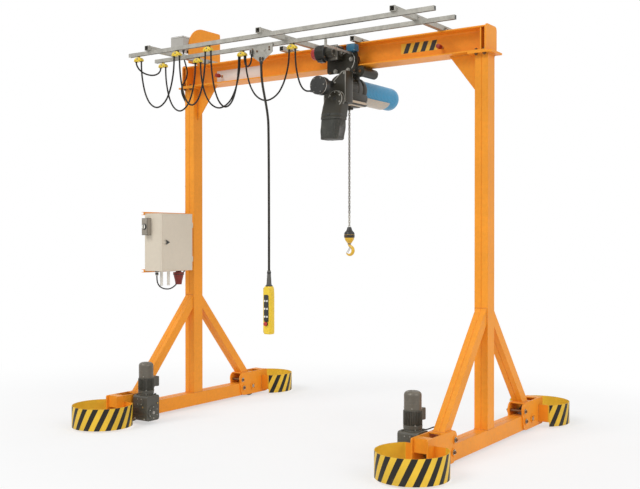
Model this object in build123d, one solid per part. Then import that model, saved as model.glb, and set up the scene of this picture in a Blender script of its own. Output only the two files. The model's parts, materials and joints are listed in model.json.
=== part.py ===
"""Small travelling gantry crane with a chain hoist, cable festoon, control cabinet and wheel guards.

Millimetres. X runs along the girder, Y across it, Z up. The origin is on the floor, mid span.
"""
import math
import os

from build123d import *

# Portal
SPAN = 3000.0
GIRDER_TOP = 3230.0
GIRDER_DEPTH = 190.0
GIRDER_WIDTH = 200.0
GIRDER_FLANGE = 10.0
GIRDER_WEB = 6.5
GIRDER_ROOT = 18.0
STIFFENER = 10.0
STIFFENER_PAST = 8.0
STIFFENER_INSET = 4.0
END_PLATE = 10.0
END_PLATE_RISE = 15.0
END_PLATE_CORNER = 30.0
HEAD_PLATE = 15.0
HEAD_PLATE_SIZE = 200.0
GUSSET = 10.0
GUSSET_REACH = 240.0
GUSSET_DROP = 297.0

# Columns and chords, each two channels welded toe to toe
COLUMN_WIDTH = 110.0
COLUMN_DEPTH = 120.0
CHANNEL_WEB = 7.0
CHANNEL_FLANGE = 9.0
SEAM_SIZE = 6.0
CHORD_BOTTOM = 25.0
CHORD_HEIGHT = 120.0
CHORD_HALF_LENGTH = 700.0

# Braces, two smaller channels welded toe to toe
BRACE_WIDTH = 90.0
BRACE_DEPTH = 80.0
BRACE_WEB = 6.0
BRACE_FLANGE = 8.0
BRACE_FOOT_OUT = 713.0
BRACE_TOP = 1015.0

# Wheels and their housings
WHEEL_OUT = 812.0
WHEEL_RADIUS = 100.0
WHEEL_WIDTH = 50.0
WHEEL_RIM = 16.0
WHEEL_WEB = 16.0
HUB_RADIUS = 34.0
HUB_LENGTH = 98.0
AXLE_RADIUS = 15.0
SHAFT_FIT = 0.05
CHEEK = 12.0
CHEEK_FRONT = 1050.0
CHEEK_BACK = 600.0
CHEEK_BACK_LOW = 632.0
CHEEK_BOTTOM = 22.0
CHEEK_TOP = 250.0
CHEEK_CORNER = 14.0
CHEEK_EAR = 55.0
HOUSING_PLATE = 10.0
HOUSING_SEAT_OUT = 800.0
HOUSING_SEAT_IN = 650.0
HOUSING_NOSE = 1030.0
HOUSING_NOSE_LOW = 150.0
HOUSING_LEDGE = 70.0
PIN_RADIUS = 12.0
PIN_HEAD_RADIUS = 19.0
PIN_HEAD = 10.0
UPPER_PIN = (646.0, 182.0)
LOWER_PIN = (668.0, 98.0)

# Wheel guards
GUARD_OUT = 1150.0
GUARD_RADIUS = 254.0
GUARD_SHEET = 4.0
GUARD_BOTTOM = 15.0
GUARD_HEIGHT = 180.0
GUARD_OPEN_ANGLE = 80.0
GUARD_ARM_LOW = 50.0

# Travel drives
GEARBOX_GAP = 30.0
GEARBOX_WIDTH = 166.0
GEARBOX_LENGTH = 150.0
GEARBOX_BELOW = 70.0
GEARBOX_ABOVE = 148.0
GEARBOX_CORNER = 22.0
GEARBOX_NECK_RADIUS = 62.0
GEARBOX_NECK = 18.0
MOTOR_RADIUS = 58.0
MOTOR_BODY = 118.0
MOTOR_FLANGE_RADIUS = 68.0
MOTOR_FLANGE = 14.0
COWL_RADIUS = 61.0
COWL_HEIGHT = 130.0
COWL_CROWN = 26.0
TERMINAL_WIDTH = 84.0
TERMINAL_DEPTH = 58.0
TERMINAL_HEIGHT = 84.0
TERMINAL_CORNER = 8.0
TERMINAL_GLAND_RADIUS = 9.0
MOTOR_CABLE = 9.0
MOTOR_CABLE_ROUTE = (
    (1320.0, -725.0, 298.0), (1320.0, -725.0, 272.0), (1330.0, -722.0, 252.0), (1350.0, -716.0, 242.0),
    (1375.0, -710.0, 243.0), (1399.0, -704.0, 252.0), (1420.0, -700.0, 263.0), (1437.0, -700.0, 268.0),
    (1455.0, -700.0, 268.0),
)

# Festoon rails, arms and carriers
RAIL_WIDTH = 30.0
RAIL_HEIGHT = 32.0
RAIL_WALL = 2.0
RAIL_SLOT = 14.0
RAIL_HALF_LENGTH = 1500.0
FRONT_RAIL_Y = -825.0
INNER_RAIL_Y = -505.0
ARM_SIZE = 40.0
ARM_WALL = 2.5
ARM_FRONT_Y = -865.0
ARM_BACK_Y = 70.0
ARM_PLACES = (-1259.0, -40.0, 1178.0)
STUB_FRONT_Y = -190.0
STUB_PLACES = (-312.0, 411.0)
RUN_GAP = 0.3
BORE_REACH = 4.0
GUIDE_GAP = 5.0
CARRIER_LENGTH = 80.0
CARRIER_STEM = 4.0
CARRIER_STEM_LENGTH = 24.0
ROLLER_RADIUS = 9.0
ROLLER_LENGTH = 9.0
SADDLE_WIDTH = 34.0
SADDLE_HEIGHT = 34.0
SADDLE_DROP = 12.0
SADDLE_ARCH = 26.0
FRONT_CLAMP_INSET = 110.0
FRONT_CARRIER_PLACES = (-940.0, -590.0)
INNER_CLAMP_INSET = 91.0
INNER_CARRIER_PLACES = (-990.0, -490.0, 35.0)
FESTOON_CABLE = 14.0
LOOP_INSET = 9.0
LOOP_PITCH = 8.5
FRONT_SAGS = (427.0, 439.0)
INNER_SAGS = (418.0, 427.0, 405.0)
CROSSING_SAG = 455.0
LINK_SAG = 90.0
BRIDGE_SAG = 95.0
LOOP_SHARES = (
    (0.0, 0.0), (0.0, 0.18), (0.04, 0.42), (0.12, 0.68), (0.27, 0.90),
    (0.50, 1.0), (0.74, 0.89), (0.88, 0.67), (0.96, 0.42), (1.0, 0.18), (1.0, 0.0),
)
HOIST_FEED_ROUTE = (
    (66.0, -505.0, 3152.0), (66.0, -505.0, 3096.0), (66.0, -500.0, 3036.0), (67.0, -488.0, 2976.0),
    (69.0, -470.0, 2920.0), (74.0, -450.0, 2872.0), (88.0, -434.0, 2836.0), (113.0, -427.0, 2816.0),
    (138.0, -426.0, 2810.0), (163.0, -426.0, 2810.0),
)

# Cable bracket on the left end of the girder
BRACKET_INSET = 150.0
BRACKET_SHEET = 8.0
BRACKET_FRONT_Y = -230.0
BRACKET_BACK_Y = 210.0
BRACKET_HEIGHT = 340.0
BRACKET_BIG_CORNER = 190.0
BRACKET_SMALL_CORNER = 18.0
JUNCTION_LENGTH = 150.0
JUNCTION_WIDTH = 280.0
JUNCTION_HEIGHT = 115.0
JUNCTION_FRONT_Y = -300.0
JUNCTION_RISE = 125.0
JUNCTION_CORNER = 8.0
CONDUIT_RADIUS = 12.0
CONDUIT_Y = -30.0
CONDUIT_TOP = 2850.0
SUPPLY_ROUTE = (
    (-1400.0, -250.0, 3355.0), (-1400.0, -250.0, 3310.0), (-1396.0, -243.0, 3262.0), (-1391.0, -225.0, 3212.0),
    (-1397.0, -200.0, 3162.0), (-1425.0, -176.0, 3117.0), (-1470.0, -156.0, 3080.0), (-1515.0, -140.0, 3050.0),
    (-1545.0, -122.0, 3016.0), (-1560.0, -98.0, 2980.0), (-1567.3, -66.0, 2944.0), (-1567.3, -30.0, 2900.0),
    (-1567.3, -30.0, 2850.0),
)

# Trolley end stops
STOP_X = 1142.0
STOP_DROP = 112.0
STOP_ROD_RADIUS = 9.0
STOP_BUFFER_RADIUS = 17.0
STOP_BUFFER = 45.0
STOP_REACH = 88.0

# Hoist trolley
HOIST_X = 270.0
TROLLEY_PLATE = 10.0
TROLLEY_PLATE_GAP = 12.0
TROLLEY_HALF_LENGTH = 150.0
TROLLEY_PLATE_ABOVE = 118.0
TROLLEY_PLATE_BELOW = 62.0
TROLLEY_CORNER = 26.0
TROLLEY_WHEEL_RADIUS = 45.0
TROLLEY_WHEEL_WIDTH = 38.0
TROLLEY_WHEEL_INSET = 8.0
TROLLEY_WHEEL_X = 90.0
TROLLEY_AXLE_RADIUS = 14.0
TIE_RADIUS = 12.0
TIE_X = 62.0
TIE_DROP = 34.0
LUG_HALF_WIDTH = 26.0
LUG_PAST_TIE = 24.0
DRUM_X = 170.0
DRUM_DROP = 240.0
DRUM_RADIUS = 40.0
DRIVE_RADIUS = 66.0
DRIVE_LENGTH = 88.0
DRIVE_Y = -235.0
DRIVE_DROP = 83.0
DRIVE_X = -162.0
DRIVE_EDGE = 14.0
DRIVE_NECK_RADIUS = 40.0
DRIVE_NECK = 66.0
DRIVE_CAP = 50.0
DRIVE_CAP_RADIUS = 46.0
DRIVE_CAP_EDGE = 9.0
DRIVE_GEAR_HALF = 62.0
DRIVE_GEAR_CORNER = 20.6666667
TOW_X = 94.0
TOW_SIZE = 16.0
TOW_DROP = 88.0
CONTROL_BOX_X = 122.0
CONTROL_BOX_LENGTH = 80.0
CONTROL_BOX_DEPTH = 58.0
CONTROL_BOX_HEIGHT = 58.0
CONTROL_BOX_CORNER = 6.0

# Chain hoist
HOIST_TOP_GAP = 12.0
HOIST_HEIGHT = 262.0
HOIST_LEFT = -95.0
HOIST_RIGHT = 130.0
HOIST_FRONT_Y = -260.0
HOIST_BACK_Y = 110.0
HOIST_EDGE = 22.0
HOIST_EDGE_SMALL = 10.0
HOIST_SHOULDER_X = 90.0
HOIST_SHOULDER_RISE = 100.0
HOIST_LUG_ROOT = 150.0
FACE_COVER_RADIUS = 65.0
FACE_COVER_DEPTH = 50.0
FACE_COVER_X = 50.0
FACE_COVER_RISE = 30.0
FACE_COVER_EDGE = 10.0
ADAPTER_LENGTH = 70.0
ADAPTER_RADIUS = 112.0
MOTOR_COVER_RADIUS = 100.0
MOTOR_COVER_LENGTH = 496.0
MOTOR_COVER_RISE = 141.0
MOTOR_COVER_X = 5.0
MOTOR_COVER_EDGE = 42.0
SWITCH_BOX_RADIUS = 74.0
SWITCH_BOX_DEPTH = 84.0
SWITCH_BOX_X = -15.0
SWITCH_BOX_RISE = 125.0
SWITCH_BOX_FRONT_Y = -468.0
SWITCH_BOX_EDGE = 10.0
SWITCH_ARM = 36.0
SWITCH_GLAND_RADIUS = 11.0
SWITCH_GLAND_DROP = 35.0
CHUTE_WIDTH = 185.0
CHUTE_DEPTH = 168.0
CHUTE_CORNER = 45.0
CHUTE_HEIGHT = 120.0
CHUTE_TOP_X = 16.0
CHUTE_X = -8.0
CHUTE_Y = -237.0
BAG_LEAN = 13.0
BAG_HEIGHT = 170.0
BAG_GAP = 0.3
BAG_SHARES = ((0.0, 0.97), (0.5, 1.03), (1.0, 1.0))
CHAIN_X = -6.0
CHAIN_RADIUS = 12.0
CHAIN_GUIDE_RADIUS = 30.0
CHAIN_GUIDE = 22.0

# Hook block and hook
BLOCK_TOP = 1706.0
BLOCK_HEIGHT = 135.0
BLOCK_WAIST = 45.0
BLOCK_RADIUS = 45.0
BLOCK_NECK_RADIUS = 20.0
BLOCK_NECK = 30.0
HOOK_GAP = 0.3
HOOK_SHANK_RADIUS = 14.0
HOOK_SHANK = 26.0
HOOK_BOWL_RADIUS = 37.0
HOOK_BAR_RADIUS = 12.0
HOOK_SWEEP = 218.0

# Pendant trolley and station
PENDANT_X = -270.0
PENDANT_HALF_LENGTH = 122.0
PENDANT_PLATE = 5.0
PENDANT_PLATE_DROP = 8.0
PENDANT_PLATE_HEIGHT = 72.0
PENDANT_TIP_DROP = 70.0
PENDANT_TIP_HALF = 20.0
PENDANT_ROLLER_X = 88.0
PENDANT_CABLE = 20.0
PENDANT_CABLE_X = 12.0
PENDANT_TIP_CLAMP = 30.0
PENDANT_CLAMP_X = -90.0
PENDANT_ROUTE = (
    (-258.0, -540.3, 3080.0), (-258.0, -540.3, 2990.0), (-245.0, -541.0, 2885.0), (-218.0, -542.0, 2770.0),
    (-192.0, -541.0, 2650.0), (-177.0, -540.3, 2510.0), (-177.0, -540.3, 1345.0),
)
RELIEF_HEIGHT = 130.0
RELIEF_RADIUS = 17.0
STATION_WIDTH = 76.0
STATION_DEPTH = 66.0
STATION_HEIGHT = 395.0
STATION_CORNER = 14.0
STATION_FACE = 5.0
BUTTON_RADIUS = 11.0
BUTTON_RISE = 8.0
BUTTON_ROWS = 3
BUTTON_END_STEPS = 2
STOP_BUTTON_RADIUS = 17.0
STOP_BUTTON_RISE = 20.0

# Control cabinet on the left column
CABINET_WIDTH = 400.0
CABINET_HEIGHT = 520.0
CABINET_DEPTH = 210.0
CABINET_BOTTOM = 1315.0
CABINET_GAP = 132.0
CABINET_SHEET = 2.0
CABINET_RIM = 14.0
DOOR_RETURN = 18.0
DOOR_GAP = 1.0
HINGE_BARREL_RADIUS = 5.0
HINGE_PIN_RADIUS = 3.0
HINGE_OUT = 7.0
HINGE_BACK = 4.0
HINGE_LEAF = 26.0
HINGE_HALF = 24.0
HINGE_INSET = 80.0
SPACER_RADIUS = 5.0
DOOR_LOCK_RADIUS = 13.0
DOOR_LOCK_INSET = 34.0
DOOR_LOCK_RISE = 6.0
STRUT_SIZE = 28.0
STRUT_OVERHANG = 14.0
STRUT_WALL = 4.0
ISOLATOR_WIDTH = 66.0
ISOLATOR_HEIGHT = 150.0
ISOLATOR_DEPTH = 50.0
ISOLATOR_TOP_DROP = 45.0
ISOLATOR_KNOB_RADIUS = 20.0
ISOLATOR_KNOB = 16.0
GLAND_RADIUS = 13.0
GLAND_LENGTH = 135.0
GLAND_PLACES = (104.0, 194.0)
ENTRY_INSET = 45.0
ENTRY_RADIUS = 13.0
ENTRY_LENGTH = 40.0
HORN_TOP_RADIUS = 50.0
HORN_LOW_RADIUS = 28.0
HORN_LENGTH = 130.0
HORN_DEPTH = 115.0
HORN_INSET = 83.0
CABINET_CABLE = 12.0
CABINET_ROUTE = (
    (-1450.0, -547.0, 1275.0), (-1450.0, -547.0, 1232.0), (-1452.0, -528.0, 1190.0), (-1457.0, -486.0, 1162.0),
    (-1464.0, -430.0, 1147.0), (-1472.0, -365.0, 1143.0), (-1480.0, -300.0, 1158.0), (-1487.0, -240.0, 1195.0),
    (-1493.0, -190.0, 1246.0), (-1498.0, -145.0, 1296.0), (-1500.0, -100.0, 1326.0), (-1500.0, -60.0, 1326.0),
)
MOUNTING_PANEL = 3.0
MOUNTING_PANEL_INSET = 22.0
OVERRUN = 30.0
BEND_SHARE = 0.45

# Places worked out from the sizes above
GIRDER_BOTTOM = GIRDER_TOP - GIRDER_DEPTH
FLANGE_TOP = GIRDER_BOTTOM + GIRDER_FLANGE
COLUMN_X = SPAN / 2
STIFFENER_X = COLUMN_X + STIFFENER_PAST
BRACKET_X = BRACKET_INSET - COLUMN_X
FRONT_CLAMP_X = FRONT_CLAMP_INSET - RAIL_HALF_LENGTH
INNER_CLAMP_X = INNER_CLAMP_INSET - RAIL_HALF_LENGTH
COLUMN_OUTER = COLUMN_X + COLUMN_WIDTH / 2
COLUMN_INNER = COLUMN_X - COLUMN_WIDTH / 2
COLUMN_TOP = GIRDER_BOTTOM - HEAD_PLATE
CHORD_TOP = CHORD_BOTTOM + CHORD_HEIGHT
ARM_BOTTOM = GIRDER_TOP
RAIL_TOP = ARM_BOTTOM
RAIL_BOTTOM = RAIL_TOP - RAIL_HEIGHT
SADDLE_TOP = RAIL_BOTTOM - SADDLE_DROP
SADDLE_BOTTOM = SADDLE_TOP - SADDLE_HEIGHT
LOOP_REACH = CARRIER_LENGTH / 2 - LOOP_INSET
BUTTON_STEPS = BUTTON_ROWS + BUTTON_END_STEPS
PLATE_INNER = GIRDER_WIDTH / 2 + TROLLEY_PLATE_GAP
PLATE_OUTER = PLATE_INNER + TROLLEY_PLATE
TIE_Z = GIRDER_BOTTOM - TIE_DROP
STOP_Z = GIRDER_TOP - STOP_DROP
DRUM_Z = GIRDER_TOP - DRUM_DROP
DRIVE_Z = GIRDER_TOP - DRIVE_DROP
TOW_Z = GIRDER_TOP - TOW_DROP
PENDANT_PLATE_TOP = RAIL_TOP - PENDANT_PLATE_DROP
PENDANT_PLATE_LOW = PENDANT_PLATE_TOP - PENDANT_PLATE_HEIGHT
PENDANT_TIP_Z = PENDANT_PLATE_LOW - PENDANT_TIP_DROP
HOIST_TOP = TIE_Z - TIE_RADIUS - HOIST_TOP_GAP
HOIST_BOTTOM = HOIST_TOP - HOIST_HEIGHT
BLOCK_BOTTOM = BLOCK_TOP - BLOCK_HEIGHT
CHEEK_OUTER = COLUMN_WIDTH / 2 + CHEEK
CABINET_BACK_X = -COLUMN_OUTER
CABINET_FRONT_X = CABINET_BACK_X + CABINET_DEPTH
CABINET_RIGHT_Y = -COLUMN_DEPTH / 2 - CABINET_GAP
CABINET_LEFT_Y = CABINET_RIGHT_Y - CABINET_WIDTH
CABINET_TOP = CABINET_BOTTOM + CABINET_HEIGHT
LEGS = {"left": -1, "right": 1}
ENDS = {"front": -1, "rear": 1}
LOW = (Align.MIN, Align.MIN, Align.MIN)
UP = (Align.CENTER, Align.CENTER, Align.MIN)


def block(x, y, z):
    """A block between a low and a high value on each axis."""
    size = [high - low for low, high in (x, y, z)]
    return Pos(x[0], y[0], z[0]) * Box(*size, align=LOW)


def middle(centre, size):
    """The low and high value of a size about its centre."""
    return (centre - size / 2, centre + size / 2)


def sides(a, b):
    """Two values in rising order."""
    return (min(a, b), max(a, b))


def rod_x(x, y, z, radius):
    """A round bar along X between two values of x."""
    return Pos(x[0], y, z) * Rot(0, 90, 0) * Cylinder(radius, x[1] - x[0], align=UP)


def rod_y(x, y, z, radius):
    """A round bar along Y between two values of y."""
    return Pos(x, y[0], z) * Rot(-90, 0, 0) * Cylinder(radius, y[1] - y[0], align=UP)


def rod_z(x, y, z, radius):
    """A round bar along Z between two values of z."""
    return Pos(x, y, z[0]) * Cylinder(radius, z[1] - z[0], align=UP)


def plate_x(outline, x):
    """A plate whose outline is a YZ sketch, between two values of x."""
    return Pos(x[0], 0, 0) * extrude(Plane.YZ * outline, x[1] - x[0])


def outline(points):
    """A face from points in its own plane."""
    return make_face(Polyline(*points, close=True))


def corner_at(sketch, place):
    """The vertex of a sketch nearest to a place in its own plane."""
    target = Vector(*place)
    return sorted(sketch.vertices(), key=lambda v: (Vector(v.X, v.Y) - target).length)[0]


def channel_pair(width, depth, web, flange):
    """Two channels toe to toe: their webs face along the width, with a weld seam down each toe line."""
    section = Rectangle(width, depth) - Rectangle(width - 2 * web, depth - 2 * flange)
    for side in (-1, 1):
        section -= Pos(0, side * depth / 2) * Rot(0, 0, 45) * Rectangle(SEAM_SIZE, SEAM_SIZE)
    return section


def tube(points, radius):
    """A round cord along straight runs joined by tangent arcs as large as their runs allow."""
    points = [Vector(*p) for p in points]
    radii = []
    for a, b, c in zip(points, points[1:], points[2:]):
        turn = (b - a).get_angle(c - b)
        shorter = min((b - a).length, (c - b).length)
        radii.append(BEND_SHARE * shorter / math.tan(math.radians(turn) / 2))
    path = FilletPolyline(*points, radius=radii)
    section = Plane(points[0], z_dir=points[1] - points[0]) * Circle(radius)
    print("cord radii", [round(r) for r in radii], "length", round(path.length))
    return sweep(section, path)


def girder():
    """Wide flange beam with its root fillets."""
    side_width = (GIRDER_WIDTH - GIRDER_WEB) / 2
    gap = GIRDER_DEPTH - 2 * GIRDER_FLANGE
    section = Rectangle(GIRDER_WIDTH, GIRDER_DEPTH)
    for side in (-1, 1):
        centre = side * (GIRDER_WEB + side_width + OVERRUN) / 2
        section -= Pos(centre, 0) * RectangleRounded(side_width + OVERRUN, gap, GIRDER_ROOT)
    section = Pos(0, GIRDER_BOTTOM + GIRDER_DEPTH / 2) * section
    inner = COLUMN_OUTER - END_PLATE
    beam = plate_x(section, (-inner, inner))
    half = GIRDER_WIDTH / 2 - STIFFENER_INSET
    for leg in LEGS.values():
        x = middle(leg * STIFFENER_X, STIFFENER)
        beam += block(x, (-half, half), (FLANGE_TOP, GIRDER_TOP - GIRDER_FLANGE))
    return beam


def end_plate(leg):
    """Plate that closes the girder's end, with rounded top corners above the flange."""
    height = GIRDER_DEPTH + END_PLATE_RISE
    face = Pos(0, GIRDER_BOTTOM + height / 2) * Rectangle(GIRDER_WIDTH, height)
    top = [corner_at(face, (side * GIRDER_WIDTH / 2, GIRDER_TOP + END_PLATE_RISE)) for side in (-1, 1)]
    face = fillet(top, END_PLATE_CORNER)
    return plate_x(face, sides(leg * (COLUMN_OUTER - END_PLATE), leg * COLUMN_OUTER))


def head_plate(leg):
    """Square plate between the column and the girder."""
    half = HEAD_PLATE_SIZE / 2
    return block(middle(leg * COLUMN_X, HEAD_PLATE_SIZE), (-half, half), (COLUMN_TOP, GIRDER_BOTTOM))


def gusset(leg):
    """Haunch plate between the column's inner face and the girder."""
    plate_edge = COLUMN_X - HEAD_PLATE_SIZE / 2
    points = [
        (COLUMN_INNER, GIRDER_BOTTOM - GUSSET_DROP - HEAD_PLATE),
        (COLUMN_INNER, COLUMN_TOP),
        (plate_edge, COLUMN_TOP),
        (plate_edge, GIRDER_BOTTOM),
        (COLUMN_INNER - GUSSET_REACH, GIRDER_BOTTOM),
    ]
    face = outline([(leg * x, z) for x, z in points])
    return extrude(Plane.XZ * face, GUSSET / 2, both=True)


def column(leg):
    """Upright from the chord to the head plate."""
    section = channel_pair(COLUMN_WIDTH, COLUMN_DEPTH, CHANNEL_WEB, CHANNEL_FLANGE)
    return Pos(leg * COLUMN_X, 0, CHORD_TOP) * extrude(section, COLUMN_TOP - CHORD_TOP)


def chord(leg):
    """Bottom beam of one leg, closed by end plates."""
    section = channel_pair(COLUMN_WIDTH, CHORD_HEIGHT, CHANNEL_WEB, CHANNEL_FLANGE)
    centre = CHORD_BOTTOM + CHORD_HEIGHT / 2
    beam = extrude(Plane.XZ * section, CHORD_HALF_LENGTH, both=True)
    beam = Pos(leg * COLUMN_X, 0, centre) * beam
    for end in (-1, 1):
        y = sides(end * (CHORD_HALF_LENGTH - CHANNEL_FLANGE), end * CHORD_HALF_LENGTH)
        cap = block(middle(0, COLUMN_WIDTH), y, middle(0, CHORD_HEIGHT - SEAM_SIZE * 2))
        beam += Pos(leg * COLUMN_X, 0, centre) * cap
    low = LOWER_PIN
    for end in (-1, 1):
        hole = rod_x(middle(leg * COLUMN_X, COLUMN_WIDTH + OVERRUN), end * low[0], low[1], PIN_RADIUS)
        beam -= hole
    return beam


def brace(leg, end):
    """Raking strut from the wheel housing up to the column face."""
    foot = Vector(0, end * BRACE_FOOT_OUT, CHEEK_TOP)
    head = Vector(0, end * COLUMN_DEPTH / 2, BRACE_TOP)
    along = (head - foot).normalized()
    section = channel_pair(BRACE_WIDTH, BRACE_DEPTH, BRACE_WEB, BRACE_FLANGE)
    plane = Plane(foot - along * BRACE_DEPTH * 2, x_dir=(1, 0, 0), z_dir=along)
    bar = extrude(plane * section, (head - foot).length + BRACE_DEPTH * 4)
    reach = sides(end * COLUMN_DEPTH / 2, end * CHEEK_FRONT)
    bar = bar & block(middle(0, BRACE_WIDTH * 2), reach, (CHEEK_TOP, BRACE_TOP + BRACE_DEPTH * 2))
    return Pos(leg * COLUMN_X, 0, 0) * bar


def wheel_housing(leg, end):
    """Two cheeks bolted to the chord's end, with a seat for the brace and a closed nose."""
    points = [
        (CHEEK_FRONT, CHEEK_BOTTOM), (CHEEK_FRONT, CHEEK_TOP),
        (CHEEK_BACK, CHEEK_TOP), (CHEEK_BACK_LOW, CHEEK_BOTTOM),
    ]
    face = outline(points)
    face = fillet([corner_at(face, points[0]), corner_at(face, points[1])], CHEEK_CORNER)
    face = fillet(corner_at(face, points[2]), CHEEK_EAR)
    face = fillet(corner_at(face, points[3]), CHEEK_EAR)
    inside = COLUMN_WIDTH / 2
    part = None
    for side in (-1, 1):
        cheek = plate_x(face, sides(side * inside, side * CHEEK_OUTER))
        part = cheek if part is None else part + cheek
    width = (-inside, inside)
    seat = block(width, (HOUSING_SEAT_IN, HOUSING_SEAT_OUT), (CHEEK_TOP - HOUSING_PLATE, CHEEK_TOP))
    nose_y = (HOUSING_NOSE - HOUSING_PLATE, HOUSING_NOSE)
    nose = block(width, nose_y, (HOUSING_NOSE_LOW, CHEEK_TOP))
    brow = block(width, (HOUSING_NOSE - HOUSING_LEDGE, HOUSING_NOSE), (CHEEK_TOP - HOUSING_PLATE, CHEEK_TOP))
    ledge_z = (HOUSING_NOSE_LOW, HOUSING_NOSE_LOW + HOUSING_PLATE)
    ledge = block(width, (HOUSING_NOSE - HOUSING_LEDGE, HOUSING_NOSE), ledge_z)
    part = part + seat + nose + brow + ledge
    across = middle(0, 2 * CHEEK_OUTER + OVERRUN)
    part -= rod_x(across, WHEEL_OUT, WHEEL_RADIUS, AXLE_RADIUS + SHAFT_FIT)
    for place in (UPPER_PIN, LOWER_PIN):
        part -= rod_x(across, place[0], place[1], PIN_RADIUS)
    if end < 0:
        part = mirror(part, Plane.XZ)
    return Pos(leg * COLUMN_X, 0, 0) * part


def housing_pins(leg, end):
    """The two pins that hold a wheel housing to its chord, with round heads."""
    pins = None
    for place in (UPPER_PIN, LOWER_PIN):
        y = end * place[0]
        pin = rod_x((-CHEEK_OUTER, CHEEK_OUTER), y, place[1], PIN_RADIUS)
        for side in (-1, 1):
            head = sides(side * CHEEK_OUTER, side * (CHEEK_OUTER + PIN_HEAD))
            pin += rod_x(head, y, place[1], PIN_HEAD_RADIUS)
        pins = pin if pins is None else pins + pin
    return Pos(leg * COLUMN_X, 0, 0) * pins


def wheel_guard(leg, end):
    """Round sheet band about the corner, open towards its housing, with two flat arms to the cheeks."""
    ring = Circle(GUARD_RADIUS) - Circle(GUARD_RADIUS - GUARD_SHEET)
    reach = GUARD_RADIUS * 2
    half = math.radians(GUARD_OPEN_ANGLE / 2)
    wedge = outline([(0, 0), (-reach * math.tan(half), -reach), (reach * math.tan(half), -reach)])
    band = extrude(ring - wedge, GUARD_HEIGHT)
    band = Pos(0, GUARD_OUT, GUARD_BOTTOM) * band
    end_x = (GUARD_RADIUS - GUARD_SHEET / 2) * math.sin(half)
    end_y = GUARD_OUT - (GUARD_RADIUS - GUARD_SHEET / 2) * math.cos(half)
    for side in (-1, 1):
        x = sides(side * CHEEK_OUTER, side * end_x)
        z = (GUARD_ARM_LOW, GUARD_BOTTOM + GUARD_HEIGHT)
        band += block(x, (end_y, end_y + GUARD_SHEET), z)
    if end < 0:
        band = mirror(band, Plane.XZ)
    return Pos(leg * COLUMN_X, 0, 0) * band


def wheel(leg, end):
    """Tyred wheel, hub and axle as one turned piece; the axle of a driven wheel reaches its gearbox."""
    half = WHEEL_WIDTH / 2
    rim = WHEEL_RADIUS - WHEEL_RIM
    points = [
        (0, -HUB_LENGTH / 2), (HUB_RADIUS, -HUB_LENGTH / 2), (HUB_RADIUS, -WHEEL_WEB / 2),
        (rim, -WHEEL_WEB / 2), (rim, -half), (WHEEL_RADIUS, -half), (WHEEL_RADIUS, half),
        (rim, half), (rim, WHEEL_WEB / 2), (HUB_RADIUS, WHEEL_WEB / 2), (HUB_RADIUS, HUB_LENGTH / 2),
        (0, HUB_LENGTH / 2),
    ]
    body = revolve(Plane.XZ * outline(points), Axis.Z)
    body = Rot(0, 90, 0) * body
    inner = -leg
    axle = [-CHEEK_OUTER - PIN_HEAD, CHEEK_OUTER + PIN_HEAD]
    if end < 0:
        reach = CHEEK_OUTER + GEARBOX_GAP + GEARBOX_WIDTH + PIN_HEAD
        axle[0 if inner < 0 else 1] = inner * reach
    body += rod_x(axle, 0, 0, AXLE_RADIUS)
    return Pos(leg * COLUMN_X, end * WHEEL_OUT, WHEEL_RADIUS) * body


def gearbox(leg):
    """Right-angle gearbox on the front wheel's axle, with a neck for the motor."""
    inner = -leg
    near = CHEEK_OUTER + GEARBOX_GAP
    x = sides(inner * near, inner * (near + GEARBOX_WIDTH))
    z = (WHEEL_RADIUS - GEARBOX_BELOW, WHEEL_RADIUS + GEARBOX_ABOVE)
    body = block(x, middle(0, GEARBOX_LENGTH), z)
    body = fillet(body.edges().filter_by(Axis.X), GEARBOX_CORNER)
    flange = sides(inner * CHEEK_OUTER, inner * near)
    body += rod_x(flange, 0, WHEEL_RADIUS, GEARBOX_BELOW - GEARBOX_CORNER / 2)
    centre = inner * (near + GEARBOX_WIDTH / 2)
    body += rod_z(centre, 0, (z[1], z[1] + GEARBOX_NECK), GEARBOX_NECK_RADIUS)
    bore = middle(inner * near, BORE_REACH * GEARBOX_WIDTH)
    body -= rod_x(bore, 0, WHEEL_RADIUS, AXLE_RADIUS + SHAFT_FIT)
    return Pos(leg * COLUMN_X, -WHEEL_OUT, 0) * body


def travel_motor(leg):
    """Upright motor with a flange, a fan cowl and a terminal box."""
    inner = -leg
    centre = inner * (CHEEK_OUTER + GEARBOX_GAP + GEARBOX_WIDTH / 2)
    base = WHEEL_RADIUS + GEARBOX_ABOVE + GEARBOX_NECK
    top_of_flange = base + MOTOR_FLANGE
    top_of_body = top_of_flange + MOTOR_BODY
    body = rod_z(0, 0, (base, top_of_flange), MOTOR_FLANGE_RADIUS)
    body += rod_z(0, 0, (top_of_flange, top_of_body), MOTOR_RADIUS)
    cowl = rod_z(0, 0, (top_of_body, top_of_body + COWL_HEIGHT), COWL_RADIUS)
    cowl = fillet(cowl.edges().group_by(Axis.Z)[-1], COWL_CROWN)
    body += cowl
    box_y = (0, MOTOR_RADIUS + TERMINAL_DEPTH)
    box_z = (top_of_body - TERMINAL_HEIGHT, top_of_body)
    box = block(middle(0, TERMINAL_WIDTH), box_y, box_z)
    body += fillet(box.edges().filter_by(Axis.Y), TERMINAL_CORNER)
    start = MOTOR_CABLE_ROUTE[0]
    body += rod_z(0, start[1] + WHEEL_OUT, (start[2], box_z[0]), TERMINAL_GLAND_RADIUS)
    return Pos(leg * COLUMN_X + centre, -WHEEL_OUT, 0) * body


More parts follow.
